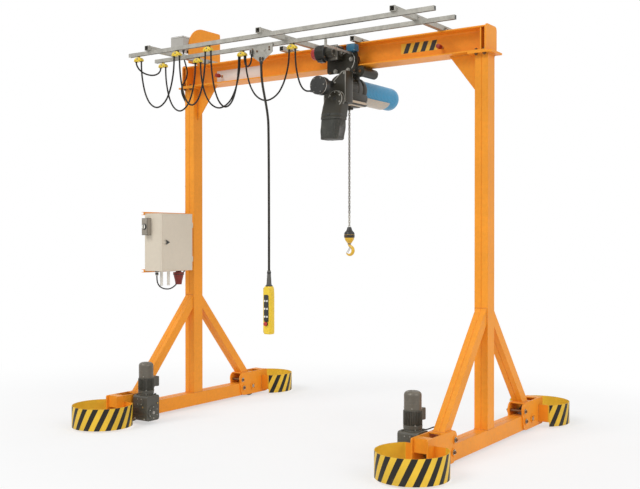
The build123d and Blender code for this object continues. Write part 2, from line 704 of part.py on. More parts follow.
def rail(y):
    """C-shaped rail that opens downwards."""
    section = Rectangle(RAIL_WIDTH, RAIL_HEIGHT)
    section -= Rectangle(RAIL_WIDTH - 2 * RAIL_WALL, RAIL_HEIGHT - 2 * RAIL_WALL)
    section -= Pos(0, -RAIL_HEIGHT / 2) * Rectangle(RAIL_SLOT, RAIL_HEIGHT / 2)
    section = Pos(y, RAIL_TOP - RAIL_HEIGHT / 2) * section
    return plate_x(section, (-RAIL_HALF_LENGTH, RAIL_HALF_LENGTH))


def square_tube(x, y):
    """Square tube along Y, lying on the girder's top flange."""
    section = Rectangle(ARM_SIZE, ARM_SIZE) - Rectangle(ARM_SIZE - 2 * ARM_WALL, ARM_SIZE - 2 * ARM_WALL)
    bar = extrude(Plane.XZ * section, y[1] - y[0])
    return Pos(x, y[1], ARM_BOTTOM + ARM_SIZE / 2) * bar


def cable_bracket():
    """Upright plate on the girder's left end, with one big round corner."""
    y = (BRACKET_FRONT_Y, BRACKET_BACK_Y)
    top = GIRDER_TOP + BRACKET_HEIGHT
    face = outline([(y[0], GIRDER_TOP), (y[0], top), (y[1], top), (y[1], GIRDER_TOP)])
    face = fillet(corner_at(face, (y[0], top)), BRACKET_BIG_CORNER)
    face = fillet(corner_at(face, (y[1], top)), BRACKET_SMALL_CORNER)
    return plate_x(face, (BRACKET_X - BRACKET_SHEET, BRACKET_X))


def junction_box():
    """Grey terminal box on the back of the cable bracket."""
    x = (BRACKET_X - BRACKET_SHEET - JUNCTION_LENGTH, BRACKET_X - BRACKET_SHEET)
    y = (JUNCTION_FRONT_Y, JUNCTION_FRONT_Y + JUNCTION_WIDTH)
    z = (GIRDER_TOP + JUNCTION_RISE, GIRDER_TOP + JUNCTION_RISE + JUNCTION_HEIGHT)
    body = block(x, y, z)
    return fillet(body.edges().filter_by(Axis.X), JUNCTION_CORNER)


def trolley_stops():
    """Rods welded to both sides of the web, each with a rubber buffer."""
    parts = []
    for x in (-STOP_X, STOP_X):
        for side in (-1, 1):
            rod = sides(side * GIRDER_WEB / 2, side * STOP_REACH)
            buffer = sides(side * (STOP_REACH - STOP_BUFFER), side * STOP_REACH)
            parts.append(rod_y(x, rod, STOP_Z, STOP_ROD_RADIUS) + rod_y(x, buffer, STOP_Z, STOP_BUFFER_RADIUS))
    return Compound(children=parts)


def rail_runner(x, y):
    """Two rollers inside a rail and the stem that comes down through its slot."""
    floor = RAIL_BOTTOM + RAIL_WALL + RUN_GAP
    axis_z = floor + ROLLER_RADIUS
    inside = RAIL_WIDTH / 2 - RAIL_WALL - RUN_GAP
    part = block(middle(x, CARRIER_STEM_LENGTH), middle(y, CARRIER_STEM), (SADDLE_TOP, axis_z))
    for side in (-1, 1):
        reach = sides(y + side * (inside - ROLLER_LENGTH), y + side * inside)
        part += rod_y(x, reach, axis_z, ROLLER_RADIUS)
    part += rod_y(x, middle(y, 2 * inside), axis_z, ROLLER_RADIUS / 2)
    return part


def saddle(x, y):
    """Curved clamp that the festoon cable lies under."""
    body = block(middle(x, CARRIER_LENGTH), middle(y, SADDLE_WIDTH), (SADDLE_BOTTOM, SADDLE_TOP))
    top = body.edges().filter_by(Axis.Y).group_by(Axis.Z)[-1]
    return fillet(top, SADDLE_ARCH)


def carrier(x, y):
    """Cable carrier that runs in a rail."""
    return saddle(x, y) + rail_runner(x, y)


def end_clamp(x, y):
    """Fixed clamp at a rail's left end."""
    stem = block(middle(x, CARRIER_STEM_LENGTH), middle(y, CARRIER_STEM), (SADDLE_TOP, RAIL_TOP - RAIL_WALL))
    return saddle(x, y) + stem


def hanging(start, end, sag):
    """A cable that leaves two clamps straight down and hangs between them."""
    start = Vector(*start)
    span = Vector(*end) - start
    points = [start + span * share - Vector(0, 0, drop * sag) for share, drop in LOOP_SHARES]
    return tube(points, FESTOON_CABLE / 2)


def clamp_right(x, y):
    """Where a cable leaves the right side of a saddle."""
    return (x + LOOP_REACH, y, SADDLE_BOTTOM)


def clamp_left(x, y):
    """Where a cable leaves the left side of a saddle."""
    return (x - LOOP_REACH, y, SADDLE_BOTTOM)


def trolley_plate(side):
    """Side plate of the hoist trolley with its two rollers on the inner face."""
    z = (FLANGE_TOP - TROLLEY_PLATE_BELOW, FLANGE_TOP + TROLLEY_PLATE_ABOVE)
    x = (HOIST_X - TROLLEY_HALF_LENGTH, HOIST_X + TROLLEY_HALF_LENGTH)
    plate = block(x, sides(side * PLATE_INNER, side * PLATE_OUTER), z)
    plate = fillet(plate.edges().filter_by(Axis.Y), TROLLEY_CORNER)
    axis_z = FLANGE_TOP + RUN_GAP + TROLLEY_WHEEL_RADIUS
    near = GIRDER_WIDTH / 2 - TROLLEY_WHEEL_INSET
    for step in (-1, 1):
        roller = sides(side * (near - TROLLEY_WHEEL_WIDTH), side * near)
        plate += rod_y(HOIST_X + step * TROLLEY_WHEEL_X, roller, axis_z, TROLLEY_WHEEL_RADIUS)
        axle = sides(side * near, side * PLATE_INNER)
        plate += rod_y(HOIST_X + step * TROLLEY_WHEEL_X, axle, axis_z, TROLLEY_AXLE_RADIUS)
        plate -= rod_y(HOIST_X + step * TIE_X, middle(0, BORE_REACH * PLATE_OUTER), TIE_Z, TIE_RADIUS)
    return plate


def trolley_plates():
    """Both side plates and the round spreader that joins their right ends under the girder."""
    spreader = rod_y(HOIST_X + DRUM_X, (-PLATE_INNER, PLATE_INNER), DRUM_Z, DRUM_RADIUS)
    return trolley_plate(-1) + trolley_plate(1) + spreader


def trolley_ties():
    """Tie bolts under the girder that hold the side plates and carry the hoist."""
    bolts = []
    for step in (-1, 1):
        bolt = rod_y(HOIST_X + step * TIE_X, (-PLATE_OUTER, PLATE_OUTER), TIE_Z, TIE_RADIUS)
        for side in (-1, 1):
            nut = sides(side * PLATE_OUTER, side * (PLATE_OUTER + PIN_HEAD))
            bolt += rod_y(HOIST_X + step * TIE_X, nut, TIE_Z, PIN_HEAD_RADIUS)
        bolts.append(bolt)
    return Compound(children=bolts)


def trolley_drive():
    """Travel gearbox on the front side plate, its motor along the girder and a round end cap."""
    x = HOIST_X + DRIVE_X
    gear_x = middle(HOIST_X - TROLLEY_WHEEL_X / 2, DRIVE_GEAR_HALF * 2)
    gear_y = (DRIVE_Y + DRIVE_NECK_RADIUS / 2, -PLATE_OUTER)
    body = block(gear_x, gear_y, middle(DRIVE_Z, DRIVE_GEAR_HALF * 2))
    body = fillet(body.edges().filter_by(Axis.Y), DRIVE_GEAR_CORNER)
    motor = rod_x((x, x + DRIVE_LENGTH), DRIVE_Y, DRIVE_Z, DRIVE_RADIUS)
    motor = fillet(motor.edges().filter_by(GeomType.CIRCLE), DRIVE_EDGE)
    cap = rod_x((x - DRIVE_CAP, x), DRIVE_Y, DRIVE_Z, DRIVE_CAP_RADIUS)
    cap = fillet(cap.edges().group_by(Axis.X)[0], DRIVE_CAP_EDGE)
    neck_x = (x + DRIVE_LENGTH, x + DRIVE_LENGTH + DRIVE_NECK)
    return body + motor + cap + rod_x(neck_x, DRIVE_Y, DRIVE_Z, DRIVE_NECK_RADIUS)


def control_box():
    """Small terminal box on the front side plate, above the tow arm."""
    low = TOW_Z + TOW_SIZE / 2 + RUN_GAP
    x = middle(HOIST_X + CONTROL_BOX_X, CONTROL_BOX_LENGTH)
    body = block(x, (-PLATE_OUTER - CONTROL_BOX_DEPTH, -PLATE_OUTER), (low, low + CONTROL_BOX_HEIGHT))
    return fillet(body.edges().filter_by(Axis.Y), CONTROL_BOX_CORNER)


def tow_arm():
    """Bar from the side plate out to the inner rail, with an upright rod that pushes the carriers."""
    x = middle(HOIST_X + TOW_X, TOW_SIZE)
    arm = block(x, (INNER_RAIL_Y - TOW_SIZE / 2, -PLATE_OUTER), middle(TOW_Z, TOW_SIZE))
    arm += block(x, middle(INNER_RAIL_Y, TOW_SIZE), (TOW_Z, RAIL_BOTTOM - GUIDE_GAP))
    return arm


def rounded_oblong(x, z, share=1.0):
    """A level face of the chain chute's or the bag's outline, about a place under the hoist."""
    face = RectangleRounded(CHUTE_WIDTH * share, CHUTE_DEPTH * share, CHUTE_CORNER * share)
    return Pos(HOIST_X + x, CHUTE_Y, z) * face


def chain_chute():
    """Chute in front of the housing that leads the slack chain down to the bag."""
    low = HOIST_BOTTOM - CHUTE_HEIGHT
    return loft([rounded_oblong(CHUTE_X, low), rounded_oblong(CHUTE_TOP_X, HOIST_BOTTOM)])


def hoist_body():
    """Cast hoist housing with one sloping shoulder, its lug, face cover, motor adapter and chain guide."""
    x = (HOIST_X + HOIST_LEFT, HOIST_X + HOIST_RIGHT)
    points = [
        (x[0], HOIST_BOTTOM), (x[1], HOIST_BOTTOM), (x[1], HOIST_TOP),
        (HOIST_X + HOIST_SHOULDER_X, HOIST_TOP), (x[0], HOIST_BOTTOM + HOIST_SHOULDER_RISE),
    ]
    body = extrude(Plane.XZ * outline(points), HOIST_BACK_Y - HOIST_FRONT_Y)
    body = Pos(0, HOIST_BACK_Y, 0) * body
    body = fillet(body.edges().filter_by(Axis.Y), HOIST_EDGE)
    body = fillet(body.edges().group_by(Axis.Y)[0], HOIST_EDGE_SMALL)
    lug_x = (HOIST_X - TIE_X - LUG_PAST_TIE, HOIST_X + TIE_X + LUG_PAST_TIE)
    lug_z = (HOIST_TOP - HOIST_LUG_ROOT, TIE_Z + TIE_RADIUS + HOIST_TOP_GAP / 2)
    lug = block(lug_x, (-LUG_HALF_WIDTH, LUG_HALF_WIDTH), lug_z)
    for step in (-1, 1):
        lug -= rod_y(HOIST_X + step * TIE_X, middle(0, BORE_REACH * LUG_HALF_WIDTH), TIE_Z, TIE_RADIUS + RUN_GAP)
    body += lug
    face_y = (HOIST_FRONT_Y - FACE_COVER_DEPTH, HOIST_FRONT_Y)
    face = rod_y(HOIST_X + FACE_COVER_X, face_y, HOIST_BOTTOM + FACE_COVER_RISE, FACE_COVER_RADIUS)
    body += fillet(face.edges().group_by(Axis.Y)[0], FACE_COVER_EDGE)
    adapter_y = (HOIST_BACK_Y, HOIST_BACK_Y + ADAPTER_LENGTH)
    body += rod_y(HOIST_X + MOTOR_COVER_X, adapter_y, HOIST_BOTTOM + MOTOR_COVER_RISE, ADAPTER_RADIUS)
    body += rod_z(HOIST_X + CHAIN_X, 0, (HOIST_BOTTOM - CHAIN_GUIDE, HOIST_BOTTOM), CHAIN_GUIDE_RADIUS)
    return body + chain_chute()


def motor_cover():
    """Long round cover over the hoist motor."""
    start = HOIST_BACK_Y + ADAPTER_LENGTH
    y = (start, start + MOTOR_COVER_LENGTH)
    cover = rod_y(HOIST_X + MOTOR_COVER_X, y, HOIST_BOTTOM + MOTOR_COVER_RISE, MOTOR_COVER_RADIUS)
    return fillet(cover.edges().group_by(Axis.Y)[-1], MOTOR_COVER_EDGE)


def switch_box():
    """Round electrical box in front of the hoist, on an arm from the housing."""
    y = (SWITCH_BOX_FRONT_Y, SWITCH_BOX_FRONT_Y + SWITCH_BOX_DEPTH)
    centre = (HOIST_X + SWITCH_BOX_X, HOIST_BOTTOM + SWITCH_BOX_RISE)
    drum = rod_y(centre[0], y, centre[1], SWITCH_BOX_RADIUS)
    drum = fillet(drum.edges().group_by(Axis.Y)[0], SWITCH_BOX_EDGE)
    arm_z = middle(centre[1] + SWITCH_BOX_RADIUS - SWITCH_ARM, SWITCH_ARM)
    drum += block(middle(centre[0], SWITCH_ARM), (y[0] + SWITCH_BOX_EDGE, HOIST_FRONT_Y), arm_z)
    gland_x = (HOIST_FEED_ROUTE[-1][0], centre[0])
    drum += rod_x(gland_x, sum(y) / 2, centre[1] - SWITCH_GLAND_DROP, SWITCH_GLAND_RADIUS)
    return drum


def chain_bag():
    """Fabric bag that takes the slack chain, hung under the chute."""
    top = HOIST_BOTTOM - CHUTE_HEIGHT - BAG_GAP
    faces = []
    for share, width_share in BAG_SHARES:
        faces.append(rounded_oblong(CHUTE_X - share * BAG_LEAN, top - share * BAG_HEIGHT, width_share))
    return loft(faces)


def load_chain():
    """The load chain's outer envelope from the guide to the hook block."""
    return rod_z(HOIST_X + CHAIN_X, 0, (BLOCK_TOP, HOIST_BOTTOM - CHAIN_GUIDE), CHAIN_RADIUS)


def hook_block():
    """Round block that joins the chain to the swivelling hook."""
    neck = BLOCK_TOP - BLOCK_NECK
    waist = BLOCK_WAIST
    points = [
        (0, BLOCK_TOP), (BLOCK_NECK_RADIUS, BLOCK_TOP), (BLOCK_NECK_RADIUS, neck),
        (BLOCK_RADIUS, neck - BLOCK_NECK / 2), (BLOCK_RADIUS, BLOCK_BOTTOM + waist),
        (BLOCK_NECK_RADIUS, BLOCK_BOTTOM), (0, BLOCK_BOTTOM),
    ]
    body = revolve(Plane.XZ * outline(points), Axis.Z)
    return Pos(HOIST_X + CHAIN_X, 0, 0) * body


def hook():
    """Forged hook: a shank and a bowl that curls up to its tip."""
    centre_z = BLOCK_BOTTOM - HOOK_GAP - HOOK_SHANK - HOOK_BOWL_RADIUS
    arc = CenterArc((0, 0), HOOK_BOWL_RADIUS, 90, -HOOK_SWEEP)
    start = arc @ 0
    section = Plane((start.X, 0, start.Y), z_dir=(1, 0, 0)) * Circle(HOOK_BAR_RADIUS)
    path = Plane.XZ * arc
    bowl = sweep(section, path)
    tip = path @ 1
    bowl += Pos(tip.X, tip.Y, tip.Z) * Sphere(HOOK_BAR_RADIUS)
    shank_z = (HOOK_BOWL_RADIUS - HOOK_BAR_RADIUS, HOOK_BOWL_RADIUS + HOOK_SHANK)
    bowl += rod_z(0, 0, shank_z, HOOK_SHANK_RADIUS)
    return Pos(HOIST_X + CHAIN_X, 0, centre_z) * bowl


def pendant_trolley():
    """Plate that carries the push-button station's cable on two rail runners."""
    y_plate = INNER_RAIL_Y - RAIL_WIDTH / 2 - GUIDE_GAP
    points = [
        (-PENDANT_HALF_LENGTH, PENDANT_PLATE_TOP), (PENDANT_HALF_LENGTH, PENDANT_PLATE_TOP),
        (PENDANT_HALF_LENGTH, PENDANT_PLATE_LOW), (PENDANT_TIP_HALF, PENDANT_TIP_Z),
        (-PENDANT_TIP_HALF, PENDANT_TIP_Z), (-PENDANT_HALF_LENGTH, PENDANT_PLATE_LOW),
    ]
    plate = extrude(Plane.XZ * outline(points), PENDANT_PLATE)
    plate = Pos(PENDANT_X, y_plate, 0) * plate
    foot = (SADDLE_BOTTOM, SADDLE_TOP)
    for step in (-1, 1):
        x = PENDANT_X + step * PENDANT_ROLLER_X
        plate += rail_runner(x, INNER_RAIL_Y)
        reach = (y_plate - PENDANT_PLATE, INNER_RAIL_Y + CARRIER_STEM / 2)
        plate += block(middle(x, CARRIER_STEM_LENGTH), reach, foot)
    front = y_plate - PENDANT_PLATE
    clamp_z = (PENDANT_TIP_Z, PENDANT_TIP_Z + SADDLE_HEIGHT)
    tip_clamp_x = middle(PENDANT_X + PENDANT_CABLE_X, PENDANT_TIP_CLAMP)
    plate += block(tip_clamp_x, (front - PENDANT_CABLE, front), clamp_z)
    feed_z = (PENDANT_PLATE_LOW, PENDANT_PLATE_LOW + SADDLE_HEIGHT)
    plate += block(middle(PENDANT_X + PENDANT_CLAMP_X, PENDANT_CABLE), (front - PENDANT_CABLE, front), feed_z)
    return plate


def pendant_cable():
    """Round cable from the pendant trolley down to the station's strain relief."""
    return tube(PENDANT_ROUTE, PENDANT_CABLE / 2)


def pendant_relief():
    """Tapered strain relief on top of the station."""
    x, y, z = PENDANT_ROUTE[-1]
    return Pos(x, y, z - RELIEF_HEIGHT) * Cone(STATION_DEPTH / 2, RELIEF_RADIUS, RELIEF_HEIGHT, align=UP)


def pendant_station():
    """Push-button station: a long rounded case with a raised face."""
    x, y, z = PENDANT_ROUTE[-1]
    top = z - RELIEF_HEIGHT
    case = block(middle(x, STATION_WIDTH), middle(y, STATION_DEPTH), (top - STATION_HEIGHT, top))
    case = fillet(case.edges().filter_by(Axis.Z), STATION_CORNER)
    return case


def pendant_buttons():
    """Six push-buttons and a stop button on a raised face plate."""
    x, y, z = PENDANT_ROUTE[-1]
    face_y = y - STATION_DEPTH / 2
    top = z - RELIEF_HEIGHT
    margin = STATION_CORNER
    width = STATION_WIDTH - 2 * margin
    face = block(middle(x, width), (face_y - STATION_FACE, face_y), (top - STATION_HEIGHT + margin, top - margin))
    pitch = (STATION_HEIGHT - 2 * margin) / BUTTON_STEPS
    for row in range(BUTTON_ROWS):
        z = top - margin - pitch * (row + 1)
        for step in (-1, 1):
            reach = (face_y - STATION_FACE - BUTTON_RISE, face_y - STATION_FACE)
            face += rod_y(x + step * width / 4, reach, z, BUTTON_RADIUS)
    z = top - margin - pitch * (BUTTON_ROWS + 1)
    face += rod_y(x, (face_y - STATION_FACE - STOP_BUTTON_RISE, face_y - STATION_FACE), z, STOP_BUTTON_RADIUS)
    return face


def cabinet():
    """Sheet steel cabinet, open at the front behind its door."""
    x = (CABINET_BACK_X, CABINET_FRONT_X - DOOR_RETURN - DOOR_GAP)
    y = (CABINET_LEFT_Y, CABINET_RIGHT_Y)
    z = (CABINET_BOTTOM, CABINET_TOP)
    sheet = CABINET_SHEET
    shell = block(x, y, z)
    shell -= block(
        (x[0] + sheet, x[1] - sheet), (y[0] + sheet, y[1] - sheet), (z[0] + sheet, z[1] - sheet))
    rim = CABINET_RIM
    shell -= block((x[0] + sheet, x[1] + sheet), (y[0] + rim, y[1] - rim), (z[0] + rim, z[1] - rim))
    for arm in hinge_arms():
        shell += arm
    return shell


def hinge_places():
    """The low end of each hinge's fixed half and the hinge line's place."""
    low = CABINET_BOTTOM + HINGE_INSET
    high = CABINET_TOP - HINGE_INSET - 2 * HINGE_HALF
    return (CABINET_FRONT_X - HINGE_BACK, CABINET_RIGHT_Y + HINGE_OUT), (low, high)


def hinge_arms():
    """Fixed halves of the two door hinges, each with its upright pin."""
    (x, y), places = hinge_places()
    front = CABINET_FRONT_X - DOOR_RETURN - DOOR_GAP - CABINET_SHEET
    outer = y + HINGE_BARREL_RADIUS
    arms = []
    for z in places:
        span = (z, z + HINGE_HALF)
        arm = block((front - HINGE_LEAF, front), (CABINET_RIGHT_Y, outer), span)
        arm += block((front, x), (y - HINGE_BARREL_RADIUS, outer), span)
        arm += rod_z(x, y, span, HINGE_BARREL_RADIUS)
        arm += rod_z(x, y, (z, z + 2 * HINGE_HALF), HINGE_PIN_RADIUS)
        arms.append(arm)
    return arms


def mounting_panel():
    """Plate inside the cabinet that its equipment is fixed to, on four spacers."""
    inset = MOUNTING_PANEL_INSET
    x = CABINET_BACK_X + CABINET_SHEET
    y = (CABINET_LEFT_Y + inset, CABINET_RIGHT_Y - inset)
    z = (CABINET_BOTTOM + inset, CABINET_TOP - inset)
    panel = block((x + inset, x + inset + MOUNTING_PANEL), y, z)
    for py in (y[0] + inset, y[1] - inset):
        for pz in (z[0] + inset, z[1] - inset):
            panel += rod_x((x, x + inset), py, pz, SPACER_RADIUS)
    return panel


def cabinet_door():
    """Door pan with a folded return, hinged on the side next to the column."""
    x = (CABINET_FRONT_X - DOOR_RETURN, CABINET_FRONT_X)
    y = (CABINET_LEFT_Y, CABINET_RIGHT_Y)
    z = (CABINET_BOTTOM, CABINET_TOP)
    sheet = CABINET_SHEET
    pan = block(x, y, z)
    pan -= block((x[0] - sheet, x[1] - sheet), (y[0] + sheet, y[1] - sheet), (z[0] + sheet, z[1] - sheet))
    lock = rod_x((x[1], x[1] + DOOR_LOCK_RISE), y[0] + DOOR_LOCK_INSET, sum(z) / 2, DOOR_LOCK_RADIUS)
    pan += lock
    (hx, hy), places = hinge_places()
    for low in places:
        span = (low + HINGE_HALF + RUN_GAP, low + 2 * HINGE_HALF)
        knuckle = block((hx - HINGE_BARREL_RADIUS, CABINET_FRONT_X), (y[1], hy), span)
        knuckle += rod_z(hx, hy, span, HINGE_BARREL_RADIUS)
        pan += knuckle - rod_z(hx, hy, span, HINGE_PIN_RADIUS + SHAFT_FIT)
    return pan


def cabinet_struts():
    """Two angle bars from the column's outer face that carry the cabinet."""
    parts = []
    x = (CABINET_BACK_X - STRUT_SIZE, CABINET_BACK_X)
    y = (CABINET_LEFT_Y - STRUT_OVERHANG, COLUMN_DEPTH / 2)
    for z in (CABINET_BOTTOM - STRUT_OVERHANG, CABINET_TOP + STRUT_OVERHANG - STRUT_SIZE):
        bar = block(x, y, (z, z + STRUT_SIZE))
        bar -= block((x[0] - STRUT_WALL, x[1] - STRUT_WALL), (y[0] - STRUT_WALL, y[1] + STRUT_WALL),
                     (z + STRUT_WALL, z + STRUT_SIZE - STRUT_WALL))
        parts.append(bar)
    return Compound(children=parts)


def isolator():
    """Main switch on the cabinet's front side, with a round knob."""
    top = CABINET_TOP - ISOLATOR_TOP_DROP
    x = (CABINET_BACK_X + STRUT_OVERHANG, CABINET_BACK_X + STRUT_OVERHANG + ISOLATOR_WIDTH)
    y = (CABINET_LEFT_Y - ISOLATOR_DEPTH, CABINET_LEFT_Y)
    body = block(x, y, (top - ISOLATOR_HEIGHT, top))
    body = fillet(body.edges().filter_by(Axis.Y), TERMINAL_CORNER)
    body += rod_y(sum(x) / 2, (y[0] - ISOLATOR_KNOB, y[0]), top - ISOLATOR_HEIGHT / 2, ISOLATOR_KNOB_RADIUS)
    return body


def cabinet_glands():
    """Two white conduits under the cabinet and the gland of the looped cable."""
    x = (CABINET_BACK_X + CABINET_FRONT_X) / 2
    z = (CABINET_BOTTOM - GLAND_LENGTH, CABINET_BOTTOM)
    parts = [rod_z(x, CABINET_LEFT_Y + inset, z, GLAND_RADIUS) for inset in GLAND_PLACES]
    z = (CABINET_BOTTOM - ENTRY_LENGTH, CABINET_BOTTOM)
    parts.append(rod_z(x, CABINET_LEFT_Y + ENTRY_INSET, z, ENTRY_RADIUS))
    return parts


def horn():
    """Warning horn under the cabinet, wide at its seat."""
    place = Pos(CABINET_BACK_X + HORN_DEPTH, CABINET_RIGHT_Y - HORN_INSET, CABINET_BOTTOM - HORN_LENGTH)
    return place * Cone(HORN_LOW_RADIUS, HORN_TOP_RADIUS, HORN_LENGTH, align=UP)


def cable_conduit():
    """Upright conduit on the left column's outer face, down to the cabinet's top bar."""
    low = CABINET_TOP + STRUT_OVERHANG
    x = CABINET_BACK_X - CONDUIT_RADIUS - RUN_GAP
    return rod_z(x, CONDUIT_Y, (low, CONDUIT_TOP), CONDUIT_RADIUS)


def motor_cable(leg):
    """Thin cable from a travel motor's terminal box to the brace beside it."""
    return tube([(leg * x, y, z) for x, y, z in MOTOR_CABLE_ROUTE], MOTOR_CABLE / 2)


def frame_cables():
    """The cables that stay where they are: supply, link between the rails, cabinet loop and motor cables."""
    link = hanging(clamp_left(FRONT_CLAMP_X, FRONT_RAIL_Y), clamp_left(INNER_CLAMP_X, INNER_RAIL_Y), LINK_SAG)
    parts = [link, tube(SUPPLY_ROUTE, FESTOON_CABLE / 2), tube(CABINET_ROUTE, CABINET_CABLE / 2)]
    return Compound(children=parts + [motor_cable(leg) for leg in LEGS.values()])


def inner_festoon_cable():
    """The inner rail's loops and the last length down to the hoist's switch box."""
    y = INNER_RAIL_Y
    first, second, third = INNER_CARRIER_PLACES
    beside = y + LOOP_PITCH
    runs = [
        (clamp_right(INNER_CLAMP_X, y), clamp_left(first, y)),
        (clamp_right(first, y), clamp_left(second, beside)),
        (clamp_right(second, beside), clamp_left(third, y)),
    ]
    loops = [hanging(start, end, sag) for (start, end), sag in zip(runs, INNER_SAGS)]
    return Compound(children=loops + [tube(HOIST_FEED_ROUTE, FESTOON_CABLE / 2)])


def front_festoon_cable():
    """The front rail's loops, the one across to the inner rail and the short one to the pendant trolley."""
    y = FRONT_RAIL_Y
    first, second = FRONT_CARRIER_PLACES
    middle_carrier = INNER_CARRIER_PLACES[1]
    beside = INNER_RAIL_Y - LOOP_PITCH
    loops = [
        hanging(clamp_right(FRONT_CLAMP_X, y), clamp_left(first, y), FRONT_SAGS[0]),
        hanging(clamp_right(first, y), clamp_left(second, y), FRONT_SAGS[1]),
        hanging(clamp_right(second, y), clamp_left(middle_carrier, beside), CROSSING_SAG),
    ]
    start = clamp_right(middle_carrier, beside)
    end_y = INNER_RAIL_Y - RAIL_WIDTH / 2 - GUIDE_GAP - PENDANT_PLATE - PENDANT_CABLE / 2
    end = (PENDANT_X + PENDANT_CLAMP_X, end_y, PENDANT_PLATE_LOW)
    low = start[2] - BRIDGE_SAG
    points = [start, (start[0], start[1], low), (end[0], end[1], low), end]
    return Compound(children=loops + [tube(points, FESTOON_CABLE / 2)])


def fixed_nodes():
    """The nodes of the frame that stands on the wheels."""
    legs = LEGS.values()
    ends = ENDS.values()
    nodes = {
        "girder": girder(),
        "girder_end_plates": Compound(children=[end_plate(leg) for leg in legs]),
        "head_plates": Compound(children=[head_plate(leg) for leg in legs]),
        "haunch_gussets": Compound(children=[gusset(leg) for leg in legs]),
        "housing_pins": Compound(children=[housing_pins(leg, end) for leg in legs for end in ends]),
        "cable_bracket": cable_bracket(),
        "cable_conduit": cable_conduit(),
        "junction_box": junction_box(),
        "trolley_stops": trolley_stops(),
        "festoon_rails": Compound(children=[rail(FRONT_RAIL_Y), rail(INNER_RAIL_Y)]),
    }
    for side, leg in LEGS.items():
        nodes[f"column_{side}"] = column(leg)
        nodes[f"bottom_chord_{side}"] = chord(leg)
        nodes[f"travel_drive_{side}"] = Compound(children=[gearbox(leg), travel_motor(leg)])
        nodes[f"braces_{side}"] = Compound(children=[brace(leg, end) for end in ends])
        nodes[f"wheel_housings_{side}"] = Compound(children=[wheel_housing(leg, end) for end in ends])
        nodes[f"wheel_guards_{side}"] = Compound(children=[wheel_guard(leg, end) for end in ends])
    arms = [square_tube(x, (ARM_FRONT_Y, ARM_BACK_Y)) for x in ARM_PLACES]
    stubs = [square_tube(x, (STUB_FRONT_Y, ARM_BACK_Y)) for x in STUB_PLACES]
    nodes["cross_arms"] = Compound(children=arms + stubs)
    clamps = [end_clamp(FRONT_CLAMP_X, FRONT_RAIL_Y), end_clamp(INNER_CLAMP_X, INNER_RAIL_Y)]
    nodes["end_clamps"] = Compound(children=clamps)
    nodes["front_festoon_cable"] = front_festoon_cable()
    nodes["inner_festoon_cable"] = inner_festoon_cable()
    nodes["cabinet"] = Compound(children=[cabinet(), mounting_panel()])
    nodes["cabinet_struts"] = cabinet_struts()
    nodes["cabinet_fittings"] = Compound(children=[isolator()] + cabinet_glands())
    nodes["horn"] = horn()
    nodes["frame_cables"] = frame_cables()
    return nodes


def moving_nodes():
    """The nodes of the wheels, the door, the hoist and the festoon train."""
    nodes = {"cabinet_door": cabinet_door()}
    for side, leg in LEGS.items():
        for name, end in ENDS.items():
            nodes[f"wheel_{side}_{name}"] = wheel(leg, end)
    nodes["trolley_plates"] = trolley_plates()
    nodes["trolley_ties"] = trolley_ties()
    nodes["trolley_drive"] = trolley_drive()
    nodes["trolley_control"] = control_box()
    nodes["tow_arm"] = tow_arm()
    nodes["hoist_body"] = hoist_body()
    nodes["motor_cover"] = motor_cover()
    nodes["switch_box"] = switch_box()
    nodes["chain_bag"] = chain_bag()
    nodes["load_chain"] = load_chain()
    nodes["hook_block"] = hook_block()
    nodes["hook"] = hook()
    nodes["pendant_trolley"] = pendant_trolley()
    nodes["pendant_cable"] = pendant_cable()
    nodes["pendant_station"] = pendant_station() + pendant_relief()
    nodes["pendant_buttons"] = pendant_buttons()
    for number, x in enumerate(FRONT_CARRIER_PLACES, 1):
        nodes[f"front_carrier_{number}"] = carrier(x, FRONT_RAIL_Y)
    for number, x in enumerate(INNER_CARRIER_PLACES, 1):
        nodes[f"inner_carrier_{number}"] = carrier(x, INNER_RAIL_Y)
    return nodes


def main():
    """Write one STEP file for each node."""
    os.makedirs("parts", exist_ok=True)
    for name, shape in {**fixed_nodes(), **moving_nodes()}.items():
        export_step(shape, f"parts/{name}.step")


main()
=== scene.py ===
"""Dressed model of a small travelling gantry crane with a chain hoist.

Metres, in the frame's own axes: X along the girder, Y across it, Z up, the floor at zero.
"""

